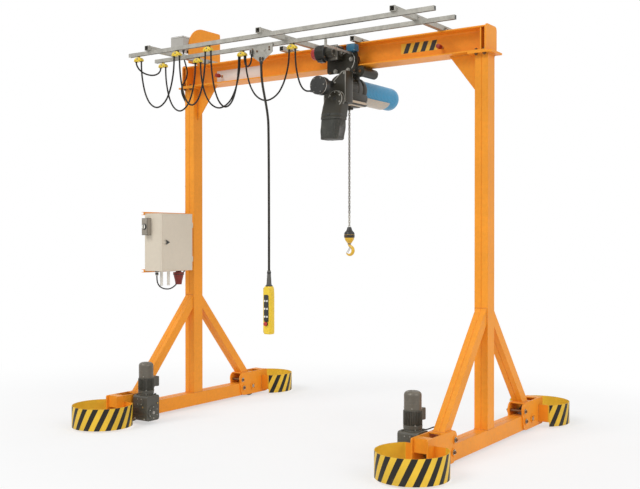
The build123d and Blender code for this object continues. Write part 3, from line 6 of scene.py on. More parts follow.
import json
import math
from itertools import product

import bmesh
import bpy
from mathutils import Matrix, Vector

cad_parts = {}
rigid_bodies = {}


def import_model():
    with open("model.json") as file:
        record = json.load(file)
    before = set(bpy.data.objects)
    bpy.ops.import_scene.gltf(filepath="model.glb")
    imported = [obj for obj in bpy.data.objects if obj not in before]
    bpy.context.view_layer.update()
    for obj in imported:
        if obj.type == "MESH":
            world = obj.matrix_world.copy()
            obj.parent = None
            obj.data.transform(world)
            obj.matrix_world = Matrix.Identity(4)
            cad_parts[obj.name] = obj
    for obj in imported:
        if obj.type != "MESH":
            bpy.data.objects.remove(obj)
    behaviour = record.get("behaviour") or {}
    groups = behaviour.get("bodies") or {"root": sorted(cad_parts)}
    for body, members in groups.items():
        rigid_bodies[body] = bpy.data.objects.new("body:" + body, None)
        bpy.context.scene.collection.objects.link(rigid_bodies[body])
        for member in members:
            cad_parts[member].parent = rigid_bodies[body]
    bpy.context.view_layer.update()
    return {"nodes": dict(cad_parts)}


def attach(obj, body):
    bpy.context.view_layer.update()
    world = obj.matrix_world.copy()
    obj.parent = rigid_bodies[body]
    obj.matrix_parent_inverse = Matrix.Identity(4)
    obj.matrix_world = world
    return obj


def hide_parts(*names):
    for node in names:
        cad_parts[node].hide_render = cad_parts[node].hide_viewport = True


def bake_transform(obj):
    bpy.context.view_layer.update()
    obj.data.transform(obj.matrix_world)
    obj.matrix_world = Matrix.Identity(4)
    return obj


bl_info = {
    "name": "Gantry crane",
    "version": (1, 0, 0),
    "blender": (4, 5, 0),
    "location": "View3D > Sidebar > Crane",
    "description": "Builds a travelling gantry crane with its hoist, festoon, cabinet and wheel guards",
    "category": "Object",
}

for thing in list(bpy.data.objects):
    bpy.data.objects.remove(thing)
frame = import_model()

FULL = 2 * math.pi
UP, DOWN = (0, 0, 1), (0, 0, -1)
REAR, FRONT = (0, 1, 0), (0, -1, 0)
RIGHT, LEFT = (1, 0, 0), (-1, 0, 0)
LEGS = {"left": -1, "right": 1}
ENDS = {"front": -1, "rear": 1}
FINISH = {}

# Centres of the legs, wheels, guards, trolley, hoist drum, chain, bag and push-button station
LEG_X = 1.5
WHEEL_Y, WHEEL_Z = 0.812, 0.1
GUARD_Y, GUARD_RADIUS = 1.15, 0.254
HOIST_X = 0.27
DRUM_X, DRUM_Z = 0.275, 2.861
CHAIN_X = 0.264
BAG_Y = -0.237
STATION_X, STATION_Y = -0.177, -0.5403

# Camera fitted to the photograph
IMAGE_WIDTH = 640
SENSOR = 36.0
FOCAL_PIXELS = 920.3
CAMERA_PLACE = (4.4736, -6.5602, 1.6172)
CAMERA_AZIMUTH = 34.5155
CAMERA_DOWN = 0.4325


class CraneSizes(bpy.types.PropertyGroup):
    """Sizes of the small pieces that are made here."""

    bolt: bpy.props.FloatProperty(
        name="Frame bolt", description="Radius over the corners of the frame's hexagon bolts",
        default=0.0125, min=0.004, max=0.03, unit="LENGTH")
    weld: bpy.props.FloatProperty(
        name="Weld bead", description="Width of the weld beads on the legs",
        default=0.009, min=0.002, max=0.02, unit="LENGTH")
    link_pitch: bpy.props.FloatProperty(
        name="Chain pitch", description="Distance from one link of the load chain to the next",
        default=0.0206, min=0.01, max=0.05, unit="LENGTH")
    link_wire: bpy.props.FloatProperty(
        name="Chain wire", description="Radius of the load chain's wire",
        default=0.0034, min=0.001, max=0.01, unit="LENGTH")
    fin: bpy.props.FloatProperty(
        name="Motor fin", description="Height of the cooling fins on the travel motors",
        default=0.009, min=0.002, max=0.02, unit="LENGTH")
    bag_fold: bpy.props.FloatProperty(
        name="Bag fold", description="Depth of the folds in the chain bag",
        default=0.006, min=0.0, max=0.02, unit="LENGTH")
    stripes: bpy.props.IntProperty(
        name="Stripes", description="Black stripes round one wheel guard",
        default=17, min=4, max=40)
    stripe_lean: bpy.props.FloatProperty(
        name="Stripe lean", description="Lean of the wheel guards' stripes from upright",
        default=math.radians(26.0), min=0.0, max=1.2, subtype="ANGLE", unit="ROTATION")


class CraneColours(bpy.types.PropertyGroup):
    """Colours of the crane's paints and plastics."""

    orange: bpy.props.FloatVectorProperty(
        name="Frame paint", description="Orange gloss paint of the legs and girder",
        default=(0.9, 0.325, 0.022), min=0.0, max=1.0, size=3, subtype="COLOR")
    yellow: bpy.props.FloatVectorProperty(
        name="Hazard yellow", description="Yellow of the wheel guards and the girder's stripes",
        default=(0.84, 0.53, 0.045), min=0.0, max=1.0, size=3, subtype="COLOR")
    black: bpy.props.FloatVectorProperty(
        name="Hazard black", description="Black of the wheel guards' stripes",
        default=(0.018, 0.017, 0.014), min=0.0, max=1.0, size=3, subtype="COLOR")
    plastic: bpy.props.FloatVectorProperty(
        name="Yellow plastic", description="Yellow of the cable carriers and the push-button station",
        default=(0.86, 0.6, 0.035), min=0.0, max=1.0, size=3, subtype="COLOR")
    dark: bpy.props.FloatVectorProperty(
        name="Dark castings", description="Olive black of the hoist and the travel drives",
        default=(0.034, 0.03, 0.02), min=0.0, max=1.0, size=3, subtype="COLOR")
    blue: bpy.props.FloatVectorProperty(
        name="Motor cover", description="Blue of the hoist motor's cover",
        default=(0.03, 0.29, 0.52), min=0.0, max=1.0, size=3, subtype="COLOR")
    cabinet: bpy.props.FloatVectorProperty(
        name="Cabinet", description="Pale beige of the control cabinet",
        default=(0.69, 0.61, 0.49), min=0.0, max=1.0, size=3, subtype="COLOR")
    fabric: bpy.props.FloatVectorProperty(
        name="Bag fabric", description="Cloth of the chain bag",
        default=(0.026, 0.026, 0.02), min=0.0, max=1.0, size=3, subtype="COLOR")


def sizes():
    """The scene's sizes."""
    return bpy.context.scene.crane_sizes


def colours():
    """The scene's colours."""
    return bpy.context.scene.crane_colours


class Value:
    """A shader socket that Python sums can use; each sum adds its node."""

    def __init__(self, nodes, socket):
        self.nodes = nodes
        self.socket = socket

    def other(self, name):
        """Another output of the same node."""
        return Value(self.nodes, self.socket.node.outputs[name])

    def sum(self, operation, *terms):
        """A Math node on these terms."""
        return self.nodes.node("Math", dict(enumerate(terms)), operation=operation)

    def __add__(self, term):
        return self.sum("ADD", self, term)

    def __sub__(self, term):
        return self.sum("SUBTRACT", self, term)

    def __rsub__(self, term):
        return self.sum("SUBTRACT", term, self)

    def __mul__(self, term):
        return self.sum("MULTIPLY", self, term)

    __radd__ = __add__
    __rmul__ = __mul__

    def sign(self):
        """One with the value's sign."""
        return self.sum("SIGN", self)

    def between(self, low, high):
        """Zero below low, one above high, smooth between them."""
        inputs = {"Value": self, "From Min": low, "From Max": high}
        return self.nodes.node("MapRange", inputs, interpolation_type="SMOOTHSTEP")


class Nodes:
    """A node tree under construction."""

    def __init__(self, owner):
        owner.use_nodes = True
        self.tree = owner.node_tree
        self.tree.nodes.clear()

    def put(self, socket, value):
        """Links a socket to a value, or sets it; a colour gets its fourth channel."""
        if isinstance(value, Value):
            self.tree.links.new(value.socket, socket)
        elif hasattr(value, "__len__"):
            value = tuple(value)
            socket.default_value = value + (1.0,) if socket.type == "RGBA" and len(value) == 3 else value
        else:
            socket.default_value = value

    def node(self, kind, inputs=None, output=0, **settings):
        """A node of a kind, its settings first, then its sockets."""
        made = self.tree.nodes.new("ShaderNode" + kind)
        for name, value in settings.items():
            setattr(made, name, value)
        for name, value in (inputs or {}).items():
            self.put(made.inputs[name], value)
        return Value(self, made.outputs[output])

    def seen(self):
        """One for what the camera sees straight, in a reflection or through glass."""
        camera = self.node("LightPath", output="Is Camera Ray")
        seen = camera.sum("MAXIMUM", camera, camera.other("Is Glossy Ray"))
        return seen.sum("MAXIMUM", seen, camera.other("Is Transmission Ray"))


class Finish(Nodes):
    """A material under construction."""

    def __init__(self, name):
        material = bpy.data.materials.new(name)
        super().__init__(material)
        self.shader = self.tree.nodes.new("ShaderNodeBsdfPrincipled")
        self.output = self.tree.nodes.new("ShaderNodeOutputMaterial")
        self.tree.links.new(self.shader.outputs[0], self.output.inputs[0])
        self.object = self.node("TexCoord", output="Object")
        FINISH[name] = material

    def noise(self, scale, detail=3.0, rough=0.5, vector=None):
        """Soft noise about one half."""
        inputs = {"Vector": vector or self.object, "Scale": scale, "Detail": detail, "Roughness": rough}
        return self.node("TexNoise", inputs)

    def stretch(self, scale):
        """The object's coordinates, scaled on each axis."""
        return self.node("Mapping", {"Vector": self.object, "Scale": scale})

    def axes(self):
        """The object's coordinates as three values."""
        x = self.node("SeparateXYZ", {"Vector": self.object})
        return x, x.other("Y"), x.other("Z")

    def mix(self, share, low, high):
        """A colour between two colours."""
        return self.node("Mix", {0: share, 6: low, 7: high}, output=2, data_type="RGBA")

    def tone(self, level, low, high, colour, dark, light):
        """A colour that runs from dark to light shares of itself as a level goes from low to high."""
        return self.mix(level.between(low, high), shade(colour, dark), shade(colour, light))

    def soft_edge(self, radius):
        """A normal that rounds each sharp edge, and how near a point is to one."""
        rounded_normal = self.node("Bevel", {"Radius": radius}, samples=4)
        plain = self.node("NewGeometry", output="Normal")
        match = self.node("VectorMath", {0: rounded_normal, 1: plain}, output="Value",
                          operation="DOT_PRODUCT")
        return rounded_normal, 1.0 - match

    def bump(self, height, depth, normal=None):
        """A normal from a height, depth metres deep."""
        inputs = {"Height": height, "Distance": depth, "Strength": 1.0}
        if normal:
            inputs["Normal"] = normal
        return self.node("Bump", inputs)

    def surface(self, **inputs):
        """Sets the shader's sockets; an underscore stands for a space."""
        for name, value in inputs.items():
            self.put(self.shader.inputs[name.replace("_", " ")], value)


def shade(colour, share):
    """A colour made lighter or darker."""
    return tuple(min(channel * share, 1.0) for channel in colour)


def coated(name, colour, rough, *, coat=0.0, metal=0.0, shine=0.5, grain=350.0, depth=0.00006, edge=0.0015,
           wear=None, tone=0.08, dust=0.0):
    """A paint or plastic with an uneven tone, a fine skin, soft edges and light wear along them."""
    finish = Finish(name)
    broad = finish.noise(2.2, 4.0, 0.6)
    fine = finish.noise(38.0, 3.0, 0.6)
    mottle = broad * 0.6 + fine * 0.4
    base = finish.tone(mottle, 0.3, 0.7, colour, 1.0 - tone, 1.0 + tone)
    if dust:
        up = finish.node("NewGeometry", output="Normal")
        level = finish.node("SeparateXYZ", {"Vector": up}).other("Z")
        settled = level.between(0.4, 1.0) * finish.noise(9.0, 5.0, 0.65).between(0.35, 0.75) * dust
        base = finish.mix(settled, base, (0.42, 0.36, 0.27))
    normal = None
    if edge:
        normal, near = finish.soft_edge(edge)
        worn = near.between(0.02, 0.16) * finish.noise(60.0, 4.0, 0.7).between(0.45, 0.75)
        base = finish.mix(worn * 0.8, base, wear or shade(colour, 1.35))
    skin = finish.noise(grain, 2.0, 0.5)
    finish.surface(
        Base_Color=base, Roughness=rough + (fine - 0.5) * 0.22, Metallic=metal, Coat_Weight=coat,
        Coat_Roughness=0.12, Specular_IOR_Level=shine, Normal=finish.bump(skin, depth, normal))


def hazard_finish():
    """Yellow wheel guard paint with leaning black stripes outside, plain yellow inside."""
    finish = Finish("hazard_paint")
    x, y, z = finish.axes()
    side_x, side_y = x.sign(), y.sign()
    around_x = x - side_x * LEG_X
    around_y = y - side_y * GUARD_Y
    turn = around_y.sum("ARCTAN2", around_y, around_x)
    lean = math.tan(sizes().stripe_lean) * sizes().stripes / (FULL * GUARD_RADIUS)
    run = turn * (sizes().stripes / FULL) - z * lean + side_x * 0.05 + side_y * 0.28 + 49.68
    saw = run.sum("FRACT", run) + (finish.noise(70.0, 3.0) - 0.5) * 0.02
    black = saw.between(0.49, 0.515) * (1.0 - saw.between(0.985, 1.0))
    reach = around_x.sum("SQRT", around_x * around_x + around_y * around_y)
    outside = reach.between(0.2522, 0.2534)
    opening = (around_y * side_y * -1.0).between(0.195, 0.1975)
    yellow = finish.tone(finish.noise(3.0, 5.0, 0.65), 0.3, 0.7, colours().yellow, 0.86, 1.08)
    scuff = finish.noise(26.0, 6.0, 0.75, finish.stretch((1.0, 1.0, 2.5)))
    ink = finish.mix(scuff.between(0.62, 0.78), colours().black, (0.07, 0.06, 0.04))
    base = finish.mix(black * outside * (1.0 - opening), yellow, ink)
    base = finish.mix(opening * outside, base, (0.34, 0.29, 0.23))
    arm = 1.0 - reach.between(0.244, 0.2455)
    base = finish.mix(arm, base, colours().orange)
    normal, near = finish.soft_edge(0.0012)
    worn = near.between(0.02, 0.2) * scuff.between(0.45, 0.7)
    base = finish.mix(worn * 0.6, base, (0.3, 0.26, 0.18))
    low = (1.0 - z.between(0.015, 0.09)) * finish.noise(14.0, 5.0, 0.7).between(0.45, 0.8)
    base = finish.mix(low * 0.35, base, (0.2, 0.16, 0.1))
    skin = finish.noise(300.0, 2.0)
    finish.surface(
        Base_Color=base, Roughness=0.42 + (scuff - 0.5) * 0.3, Coat_Weight=0.05, Coat_Roughness=0.2,
        Specular_IOR_Level=0.22, Normal=finish.bump(skin, 0.00006, normal))


def metal_finish(name, colour, rough, spangle=0.0, edge=0.0008):
    """Zinc or steel with cloudy spangles, a drawn grain and a painted highlight along every sharp edge."""
    finish = Finish(name)
    cloud = finish.noise(14.0, 5.0, 0.65)
    base = finish.tone(cloud, 0.3, 0.7, colour, 0.8, 1.12)
    drawn = finish.noise(60.0, 3.0, 0.6, finish.stretch((1.0, 9.0, 9.0)))
    height = drawn
    if spangle:
        cell = finish.node("TexVoronoi", {"Vector": finish.object, "Scale": spangle}, output="Color")
        grey = finish.node("SeparateXYZ", {"Vector": cell})
        base = finish.mix(grey * 0.35, base, shade(colour, 1.25))
        height = drawn * 0.7 + grey * 0.3
    normal, near = finish.soft_edge(edge)
    # Painted highlight: every sharp edge is lightened towards 1.4 times the metal's colour.
    base = finish.mix(near.between(0.03, 0.2) * 0.5, base, shade(colour, 1.4))
    finish.surface(
        Base_Color=base, Roughness=rough + (cloud - 0.5) * 0.25, Metallic=0.55,
        Normal=finish.bump(height, 0.00008, normal))


def rubber_finish(name, colour, rough=0.55):
    """Black rubber or cable sheath with a dusty, faintly ribbed skin."""
    finish = Finish(name)
    cloud = finish.noise(30.0, 5.0, 0.65)
    base = finish.tone(cloud, 0.35, 0.7, colour, 1.0, 2.1)
    skin = finish.noise(500.0, 2.0)
    finish.surface(
        Base_Color=base, Roughness=rough + (cloud - 0.5) * 0.3, Specular_IOR_Level=0.22,
        Normal=finish.bump(skin + cloud, 0.00005))


def tread_finish():
    """Grey tread with steel discs, told apart by the distance from the wheel's axis."""
    finish = Finish("tread")
    _, y, z = finish.axes()
    away_y = y - y.sign() * WHEEL_Y
    away_z = z - WHEEL_Z
    reach = y.sum("SQRT", away_y * away_y + away_z * away_z)
    scuff = finish.noise(45.0, 6.0, 0.7)
    tyre = finish.mix(scuff.between(0.3, 0.75), (0.09, 0.08, 0.065), (0.2, 0.18, 0.15))
    disc = finish.mix(scuff.between(0.3, 0.7), (0.3, 0.28, 0.25), (0.45, 0.42, 0.37))
    outer = reach.between(0.0835, 0.0845)
    normal, _ = finish.soft_edge(0.001)
    finish.surface(
        Base_Color=finish.mix(outer, disc, tyre), Roughness=0.45 + outer * 0.3 + (scuff - 0.5) * 0.2,
        Metallic=(1.0 - outer) * 0.7, Normal=finish.bump(scuff, 0.00015, normal))


def fabric_finish():
    """Coated woven cloth: crossed threads over a soft fold tone."""
    finish = Finish("bag_fabric")
    colour = colours().fabric
    x, y, z = finish.axes()
    warp = x.sum("SINE", (x + y) * 2600.0)
    weft = z.sum("SINE", z * 2600.0)
    weave = warp * weft * 0.5 + 0.5
    cloud = finish.noise(16.0, 5.0, 0.65)
    base = finish.mix(weave, shade(colour, 0.75), shade(colour, 1.5))
    base = finish.mix(cloud.between(0.4, 0.75) * 0.6, base, shade(colour, 3.2))
    finish.surface(
        Base_Color=base, Roughness=0.72 + (cloud - 0.5) * 0.2, Sheen_Weight=0.25, Sheen_Roughness=0.5,
        Normal=finish.bump(weave + cloud * 2.0, 0.00035))


def all_finishes():
    """Makes every finish, most of them under the name of the record's own slot."""
    tones = colours()
    coated("orange_paint", tones.orange, 0.46, coat=0.04, shine=0.25, depth=0.00009, edge=0.0022,
           wear=(0.96, 0.48, 0.09), dust=0.12)
    hazard_finish()
    coated("dark_paint", tones.dark, 0.42, shine=0.32, grain=260.0, depth=0.00025, edge=0.002,
           wear=(0.2, 0.17, 0.11), tone=0.2, dust=0.35)
    coated("grey_paint", tones.dark, 0.38, shine=0.36, grain=230.0, depth=0.0003, edge=0.003,
           wear=(0.3, 0.29, 0.25), tone=0.22, dust=0.15)
    coated("blue_paint", shade(tones.blue, 0.42), 0.42, tone=0.12)
    coated("drive_grey", (0.088, 0.084, 0.068), 0.42, shine=0.35, grain=260.0, depth=0.0002, edge=0.002,
           wear=(0.26, 0.24, 0.19), tone=0.16, dust=0.3)
    coated("relief_grey", (0.115, 0.112, 0.1), 0.55, tone=0.14, grain=420.0)
    coated("switch_grey", (0.3, 0.265, 0.215), 0.5, tone=0.08, grain=420.0)
    coated("tray_beige", (0.6, 0.49, 0.36), 0.42, tone=0.1)
    coated("cabinet_paint", tones.cabinet, 0.48, grain=520.0, depth=0.00012, tone=0.035,
           wear=(0.82, 0.77, 0.66), dust=0.15)
    coated("yellow_paint", (0.78, 0.47, 0.03), 0.36, coat=0.2, tone=0.14, wear=(0.3, 0.2, 0.06))
    coated("yellow_plastic", tones.plastic, 0.4, tone=0.06, grain=420.0, depth=0.00005)
    coated("red_plastic", (0.46, 0.03, 0.026), 0.34, tone=0.15)
    coated("horn_red", (0.215, 0.03, 0.022), 0.36, shine=0.35, tone=0.2)
    coated("red_rubber", (0.3, 0.022, 0.014), 0.5, tone=0.2)
    coated("black_plastic", (0.021, 0.021, 0.019), 0.42, grain=420.0, depth=0.00012, tone=0.15,
           wear=(0.1, 0.09, 0.07))
    coated("grey_plastic", (0.45, 0.43, 0.39), 0.45, tone=0.06, grain=420.0)
    coated("pale_plastic", (0.8, 0.77, 0.7), 0.42, tone=0.05, grain=420.0)
    coated("label_white", (0.8, 0.79, 0.74), 0.35, tone=0.03, edge=0.0006)
    coated("bolt_brown", (0.16, 0.075, 0.028), 0.45, metal=0.45, tone=0.3, wear=(0.5, 0.36, 0.2))
    coated("cowl_paint", (0.135, 0.12, 0.095), 0.36, metal=0.35, tone=0.15, wear=(0.35, 0.32, 0.26), dust=0.3)
    coated("weld_orange", shade(tones.orange, 0.82), 0.42, grain=180.0, depth=0.0003, edge=0.0,
           tone=0.12)
    coated("hazard_yellow", tones.yellow, 0.4, tone=0.06, edge=0.0006)
    coated("hazard_black", tones.black, 0.4, tone=0.2, edge=0.0006)
    coated("brass", (0.55, 0.36, 0.12), 0.32, metal=0.8, tone=0.15)
    metal_finish("zinc", (0.4, 0.385, 0.34), 0.42, spangle=55.0)
    metal_finish("chain_steel", (0.5, 0.47, 0.4), 0.33)
    # Light metal; round the housings' pin nuts and along the trolley plate's edge it stands for painted
    # highlights.
    metal_finish("bright_rim", (0.62, 0.6, 0.54), 0.28)
    # Light metal for the hoist casing's rims and the front cover's rings, which are painted edge highlights.
    metal_finish("casting_edge", (0.34, 0.325, 0.285), 0.36)
    rubber_finish("black_rubber", (0.014, 0.013, 0.011))
    rubber_finish("pendant_rubber", (0.02, 0.018, 0.014), 0.5)
    tread_finish()
    coated("motor_blue", tones.blue, 0.36, coat=0.15, tone=0.1, grain=420.0)
    fabric_finish()


class Shape:
    """A mesh under construction. Each form takes the finish that was chosen last."""

    def __init__(self, finish):
        self.form = bmesh.new()
        self.finishes = []
        self.use(finish)

    def use(self, name):
        """Chooses the finish of what follows."""
        if name not in self.finishes:
            self.finishes.append(name)
        self.chosen = self.finishes.index(name)
        return self

    def row(self, points):
        """Corners at these points."""
        return [self.form.verts.new(point) for point in points]

    def face(self, corners):
        """One face of the chosen finish."""
        self.form.faces.new(corners).material_index = self.chosen

    def skin(self, a, b):
        """Faces between two loops, either of which may be a single point."""
        count = max(len(a), len(b))
        for i in range(count):
            j = (i + 1) % count
            if len(a) == 1:
                self.face([a[0], b[i], b[j]])
            elif len(b) == 1:
                self.face([a[i], b[0], a[j]])
            else:
                self.face([a[i], b[i], b[j], a[j]])

    def layers(self, rows, closed=False):
        """A skin over rows of points, closed to a ring or capped at both ends. Gives the corners."""
        loops = [self.row(row) for row in rows]
        for a, b in zip(loops, loops[1:]):
            self.skin(a, b)
        if closed:
            self.skin(loops[-1], loops[0])
        else:
            for loop in (loops[0], loops[-1]):
                if len(loop) > 1:
                    self.face(loop)
        return [corner for loop in loops for corner in loop]

    def round(self, corners, size):
        """Rounds the edges between these corners."""
        edges = {edge for corner in corners for edge in corner.link_edges}
        if size:
            bmesh.ops.bevel(
                self.form, geom=list(edges), offset=size, offset_type="OFFSET", segments=2,
                profile=0.5, affect="EDGES", clamp_overlap=True)

    def block(self, centre, half, bevel=0.001, turn=None):
        """A block with rounded edges, turned about its own centre."""
        place = Matrix.Translation(centre) @ (turn or Matrix.Identity(4))
        made = self.row(place @ Vector((x, y, z * half[2])) for z in (-1, 1) for x, y in corners(*half[:2]))
        for ring in ((3, 2, 1, 0), (4, 5, 6, 7), (0, 1, 5, 4), (1, 2, 6, 5), (2, 3, 7, 6), (3, 0, 4, 7)):
            self.face([made[i] for i in ring])
        self.round(made, bevel)
        return self

    def box(self, low, high, bevel=0.001):
        """A block with rounded edges between two corners."""
        low, high = Vector(low), Vector(high)
        return self.block((low + high) / 2, (high - low) / 2, bevel)

    def spokes(self, centre, letter, angles, offset, half, bevel):
        """Blocks set round an axis, each turned with its angle."""
        for angle in angles:
            turn = Matrix.Rotation(angle, 4, letter)
            self.block(Vector(centre) + turn @ Vector(offset), half, bevel, turn)

    def lathe(self, profile, place=(0, 0, 0), axis=UP, steps=28, ring=False):
        """A turned form: radius and height pairs about an axis. A ring has a closed profile."""
        spin = Vector(axis).to_track_quat("Z", "Y").to_matrix().to_4x4()
        to_place = Matrix.Translation(place) @ spin
        rows = []
        for radius, height in profile:
            angles = around(steps if radius > 1e-6 else 1)
            rows.append([to_place @ Vector((radius * math.cos(a), radius * math.sin(a), height))
                         for a in angles])
        self.layers(rows, ring)
        return self

    def turned(self, profile, place, axis=UP, steps=28):
        """A turned form with flat ends out to the profile."""
        return self.lathe([(0, profile[0][1])] + profile + [(0, profile[-1][1])], place, axis, steps)

    def disc(self, place, axis, radius, height, steps=20):
        """A plain turned disc, a hexagon with six steps."""
        return self.turned([(radius, 0), (radius, height)], place, axis, steps)

    def rod(self, a, b, radius, steps=20, bevel=0.0008):
        """A round bar between two points, with chamfered ends."""
        a, b = Vector(a), Vector(b)
        length = (b - a).length
        bevel = min(bevel, length / 3, radius / 2)
        profile = [(radius - bevel, 0), (radius, bevel), (radius, length - bevel), (radius - bevel, length)]
        return self.lathe(profile, a, b - a, steps)

    def ring(self, place, axis, inner, outer, height, steps=28, bevel=0.0006):
        """A flat ring with soft corners."""
        profile = [
            (inner, 0), (outer - bevel, 0), (outer, bevel), (outer, height - bevel),
            (outer - bevel, height), (inner + bevel, height), (inner, height - bevel)]
        return self.lathe(profile, place, axis, steps, ring=True)

    def bolt(self, place, axis, size, washer=True, stud=True):
        """A hexagon head or nut on a washer, with its thread's end."""
        base = size * 0.2 if washer else 0.0
        if washer:
            self.disc(place, axis, size * 1.25, base)
        top = base + size * 0.75
        self.turned([(size * 0.96, base), (size, base + size * 0.08), (size, top - size * 0.12),
                     (size * 0.84, top)], place, axis, 6)
        if stud:
            end = top + size * 0.3
            self.turned([(size * 0.5, top), (size * 0.5, end - size * 0.08), (size * 0.42, end)], place, axis,
                        12)
        return self

    def screw(self, place, axis, size):
        """A small domed screw with a hexagon socket."""
        profile = [(0, 0), (size, 0), (size, size * 0.35), (size * 0.72, size * 0.62),
                   (size * 0.45, size * 0.66),
                   (size * 0.42, size * 0.3), (0, size * 0.3)]
        return self.lathe(profile, place, axis, 12)

    def bolts(self, places, axis, size, **parts):
        """A bolt at each place."""
        for place in places:
            self.bolt(place, axis, size, **parts)

    def screws(self, places, axis, size):
        """A screw at each place."""
        for place in places:
            self.screw(place, axis, size)

    def prism(self, outline, low, high, axis="Y", bevel=0.0):
        """An outline in the plane across an axis, as deep as low to high."""
        order = {"X": (2, 0, 1), "Y": (0, 2, 1)}[axis]
        rows = [[[(a, b, depth)[i] for i in order] for a, b in outline] for depth in (low, high)]
        self.round(self.layers(rows), bevel)
        return self

    def tube(self, points, radius, sides=10, closed=False):
        """A round bar along points; radius may be one value a point."""
        points = [Vector(point) for point in points]
        radii = list(radius) if hasattr(radius, "__len__") else [radius] * len(points)
        count = len(points)
        rows = []
        across = None
        for i, point in enumerate(points):
            before = points[i - 1] if i or closed else point
            after = points[(i + 1) % count] if i < count - 1 or closed else point
            along = (after - before).normalized()
            if across is None:
                across = along.orthogonal().normalized()
            across = (across - along * across.dot(along)).normalized()
            other = along.cross(across)
            rows.append([point + (across * math.cos(angle) + other * math.sin(angle)) * radii[i]
                         for angle in around(sides)])
        self.layers(rows, closed)
        return self

    def weld(self, a, b, size=None):
        """A weld bead with its ripples."""
        size = size or sizes().weld
        a, b = Vector(a), Vector(b)
        count = max(3, int((b - a).length / (size * 0.45)))
        points = [a.lerp(b, i / count) for i in range(count + 1)]
        radii = [size * (0.52 if i % 2 else 0.43) for i in range(count + 1)]
        self.tube(points, radii, 7)

    def weld_round(self, points):
        """Weld beads from point to point and back to the first."""
        for a, b in zip(points, points[1:] + points[:1]):
            self.weld(a, b)

    def mesh(self, name, smooth=38):
        """The finished mesh."""
        bmesh.ops.recalc_face_normals(self.form, faces=self.form.faces)
        made = bpy.data.meshes.new(name)
        self.form.to_mesh(made)
        self.form.free()
        for finish in self.finishes:
            made.materials.append(FINISH[finish])
        made.polygons.foreach_set("use_smooth", [True] * len(made.polygons))
        made.set_sharp_from_angle(angle=math.radians(smooth))
        return made

    def piece(self, name, body, slot, smooth=38, replaces=()):
        """The finished object, riding on a body."""
        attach(place_piece(name, self.mesh(name, smooth), replaces), body)


def place_piece(name, data, replaces=()):
    """Puts mesh or curve data in the scene under a name and what it replaces."""
    thing = bpy.data.objects.new(name, data)
    bpy.context.scene.collection.objects.link(thing)
    if replaces:
        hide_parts(*replaces)
    return thing


def around(count, start=0.0):
    """Evenly spaced angles."""
    return [start + FULL * i / count for i in range(count)]


def circle(place, axis, radius, count, start=0.0):
    """Evenly spaced places round an axis."""
    flat = 0 if axis[0] else 1 if axis[1] else 2
    places = []
    for angle in around(count, start):
        offset = [radius * math.cos(angle), radius * math.sin(angle)]
        offset.insert(flat, 0.0)
        places.append([at + away for at, away in zip(place, offset)])
    return places


def grid(*axes):
    """Every place of a grid; each axis has one value or several."""
    return list(product(*(axis if isinstance(axis, tuple) else (axis,) for axis in axes)))


def pair(reach, centre=0.0):
    """Two values, one on each side of a centre."""
    return centre - reach, centre + reach


def corners(a, b):
    """Corners of an upright rectangle about the origin, anticlockwise."""
    return (-a, -b), (a, -b), (a, b), (-a, b)


def arc(a, b, radius, start, end, steps):
    """Points of an arc from one angle to another, in degrees."""
    angles = [math.radians(start + (end - start) * i / steps) for i in range(steps + 1)]
    return [(a + radius * math.cos(angle), b + radius * math.sin(angle)) for angle in angles]


def rounded(half_x, half_y, corner, count=6):
    """Points of a rounded rectangle, anticlockwise."""
    points = []
    for number, (sx, sy) in enumerate(((1, 1), (-1, 1), (-1, -1), (1, -1))):
        points += arc(sx * (half_x - corner), sy * (half_y - corner), corner, number * 90, number * 90 + 90,
                      count)
    return points


class CraneOperator(bpy.types.Operator):
    """Shared settings of the crane's operators."""

    bl_idname = "crane.base"
    bl_label = "Crane piece"
    bl_options = {"REGISTER", "UNDO"}


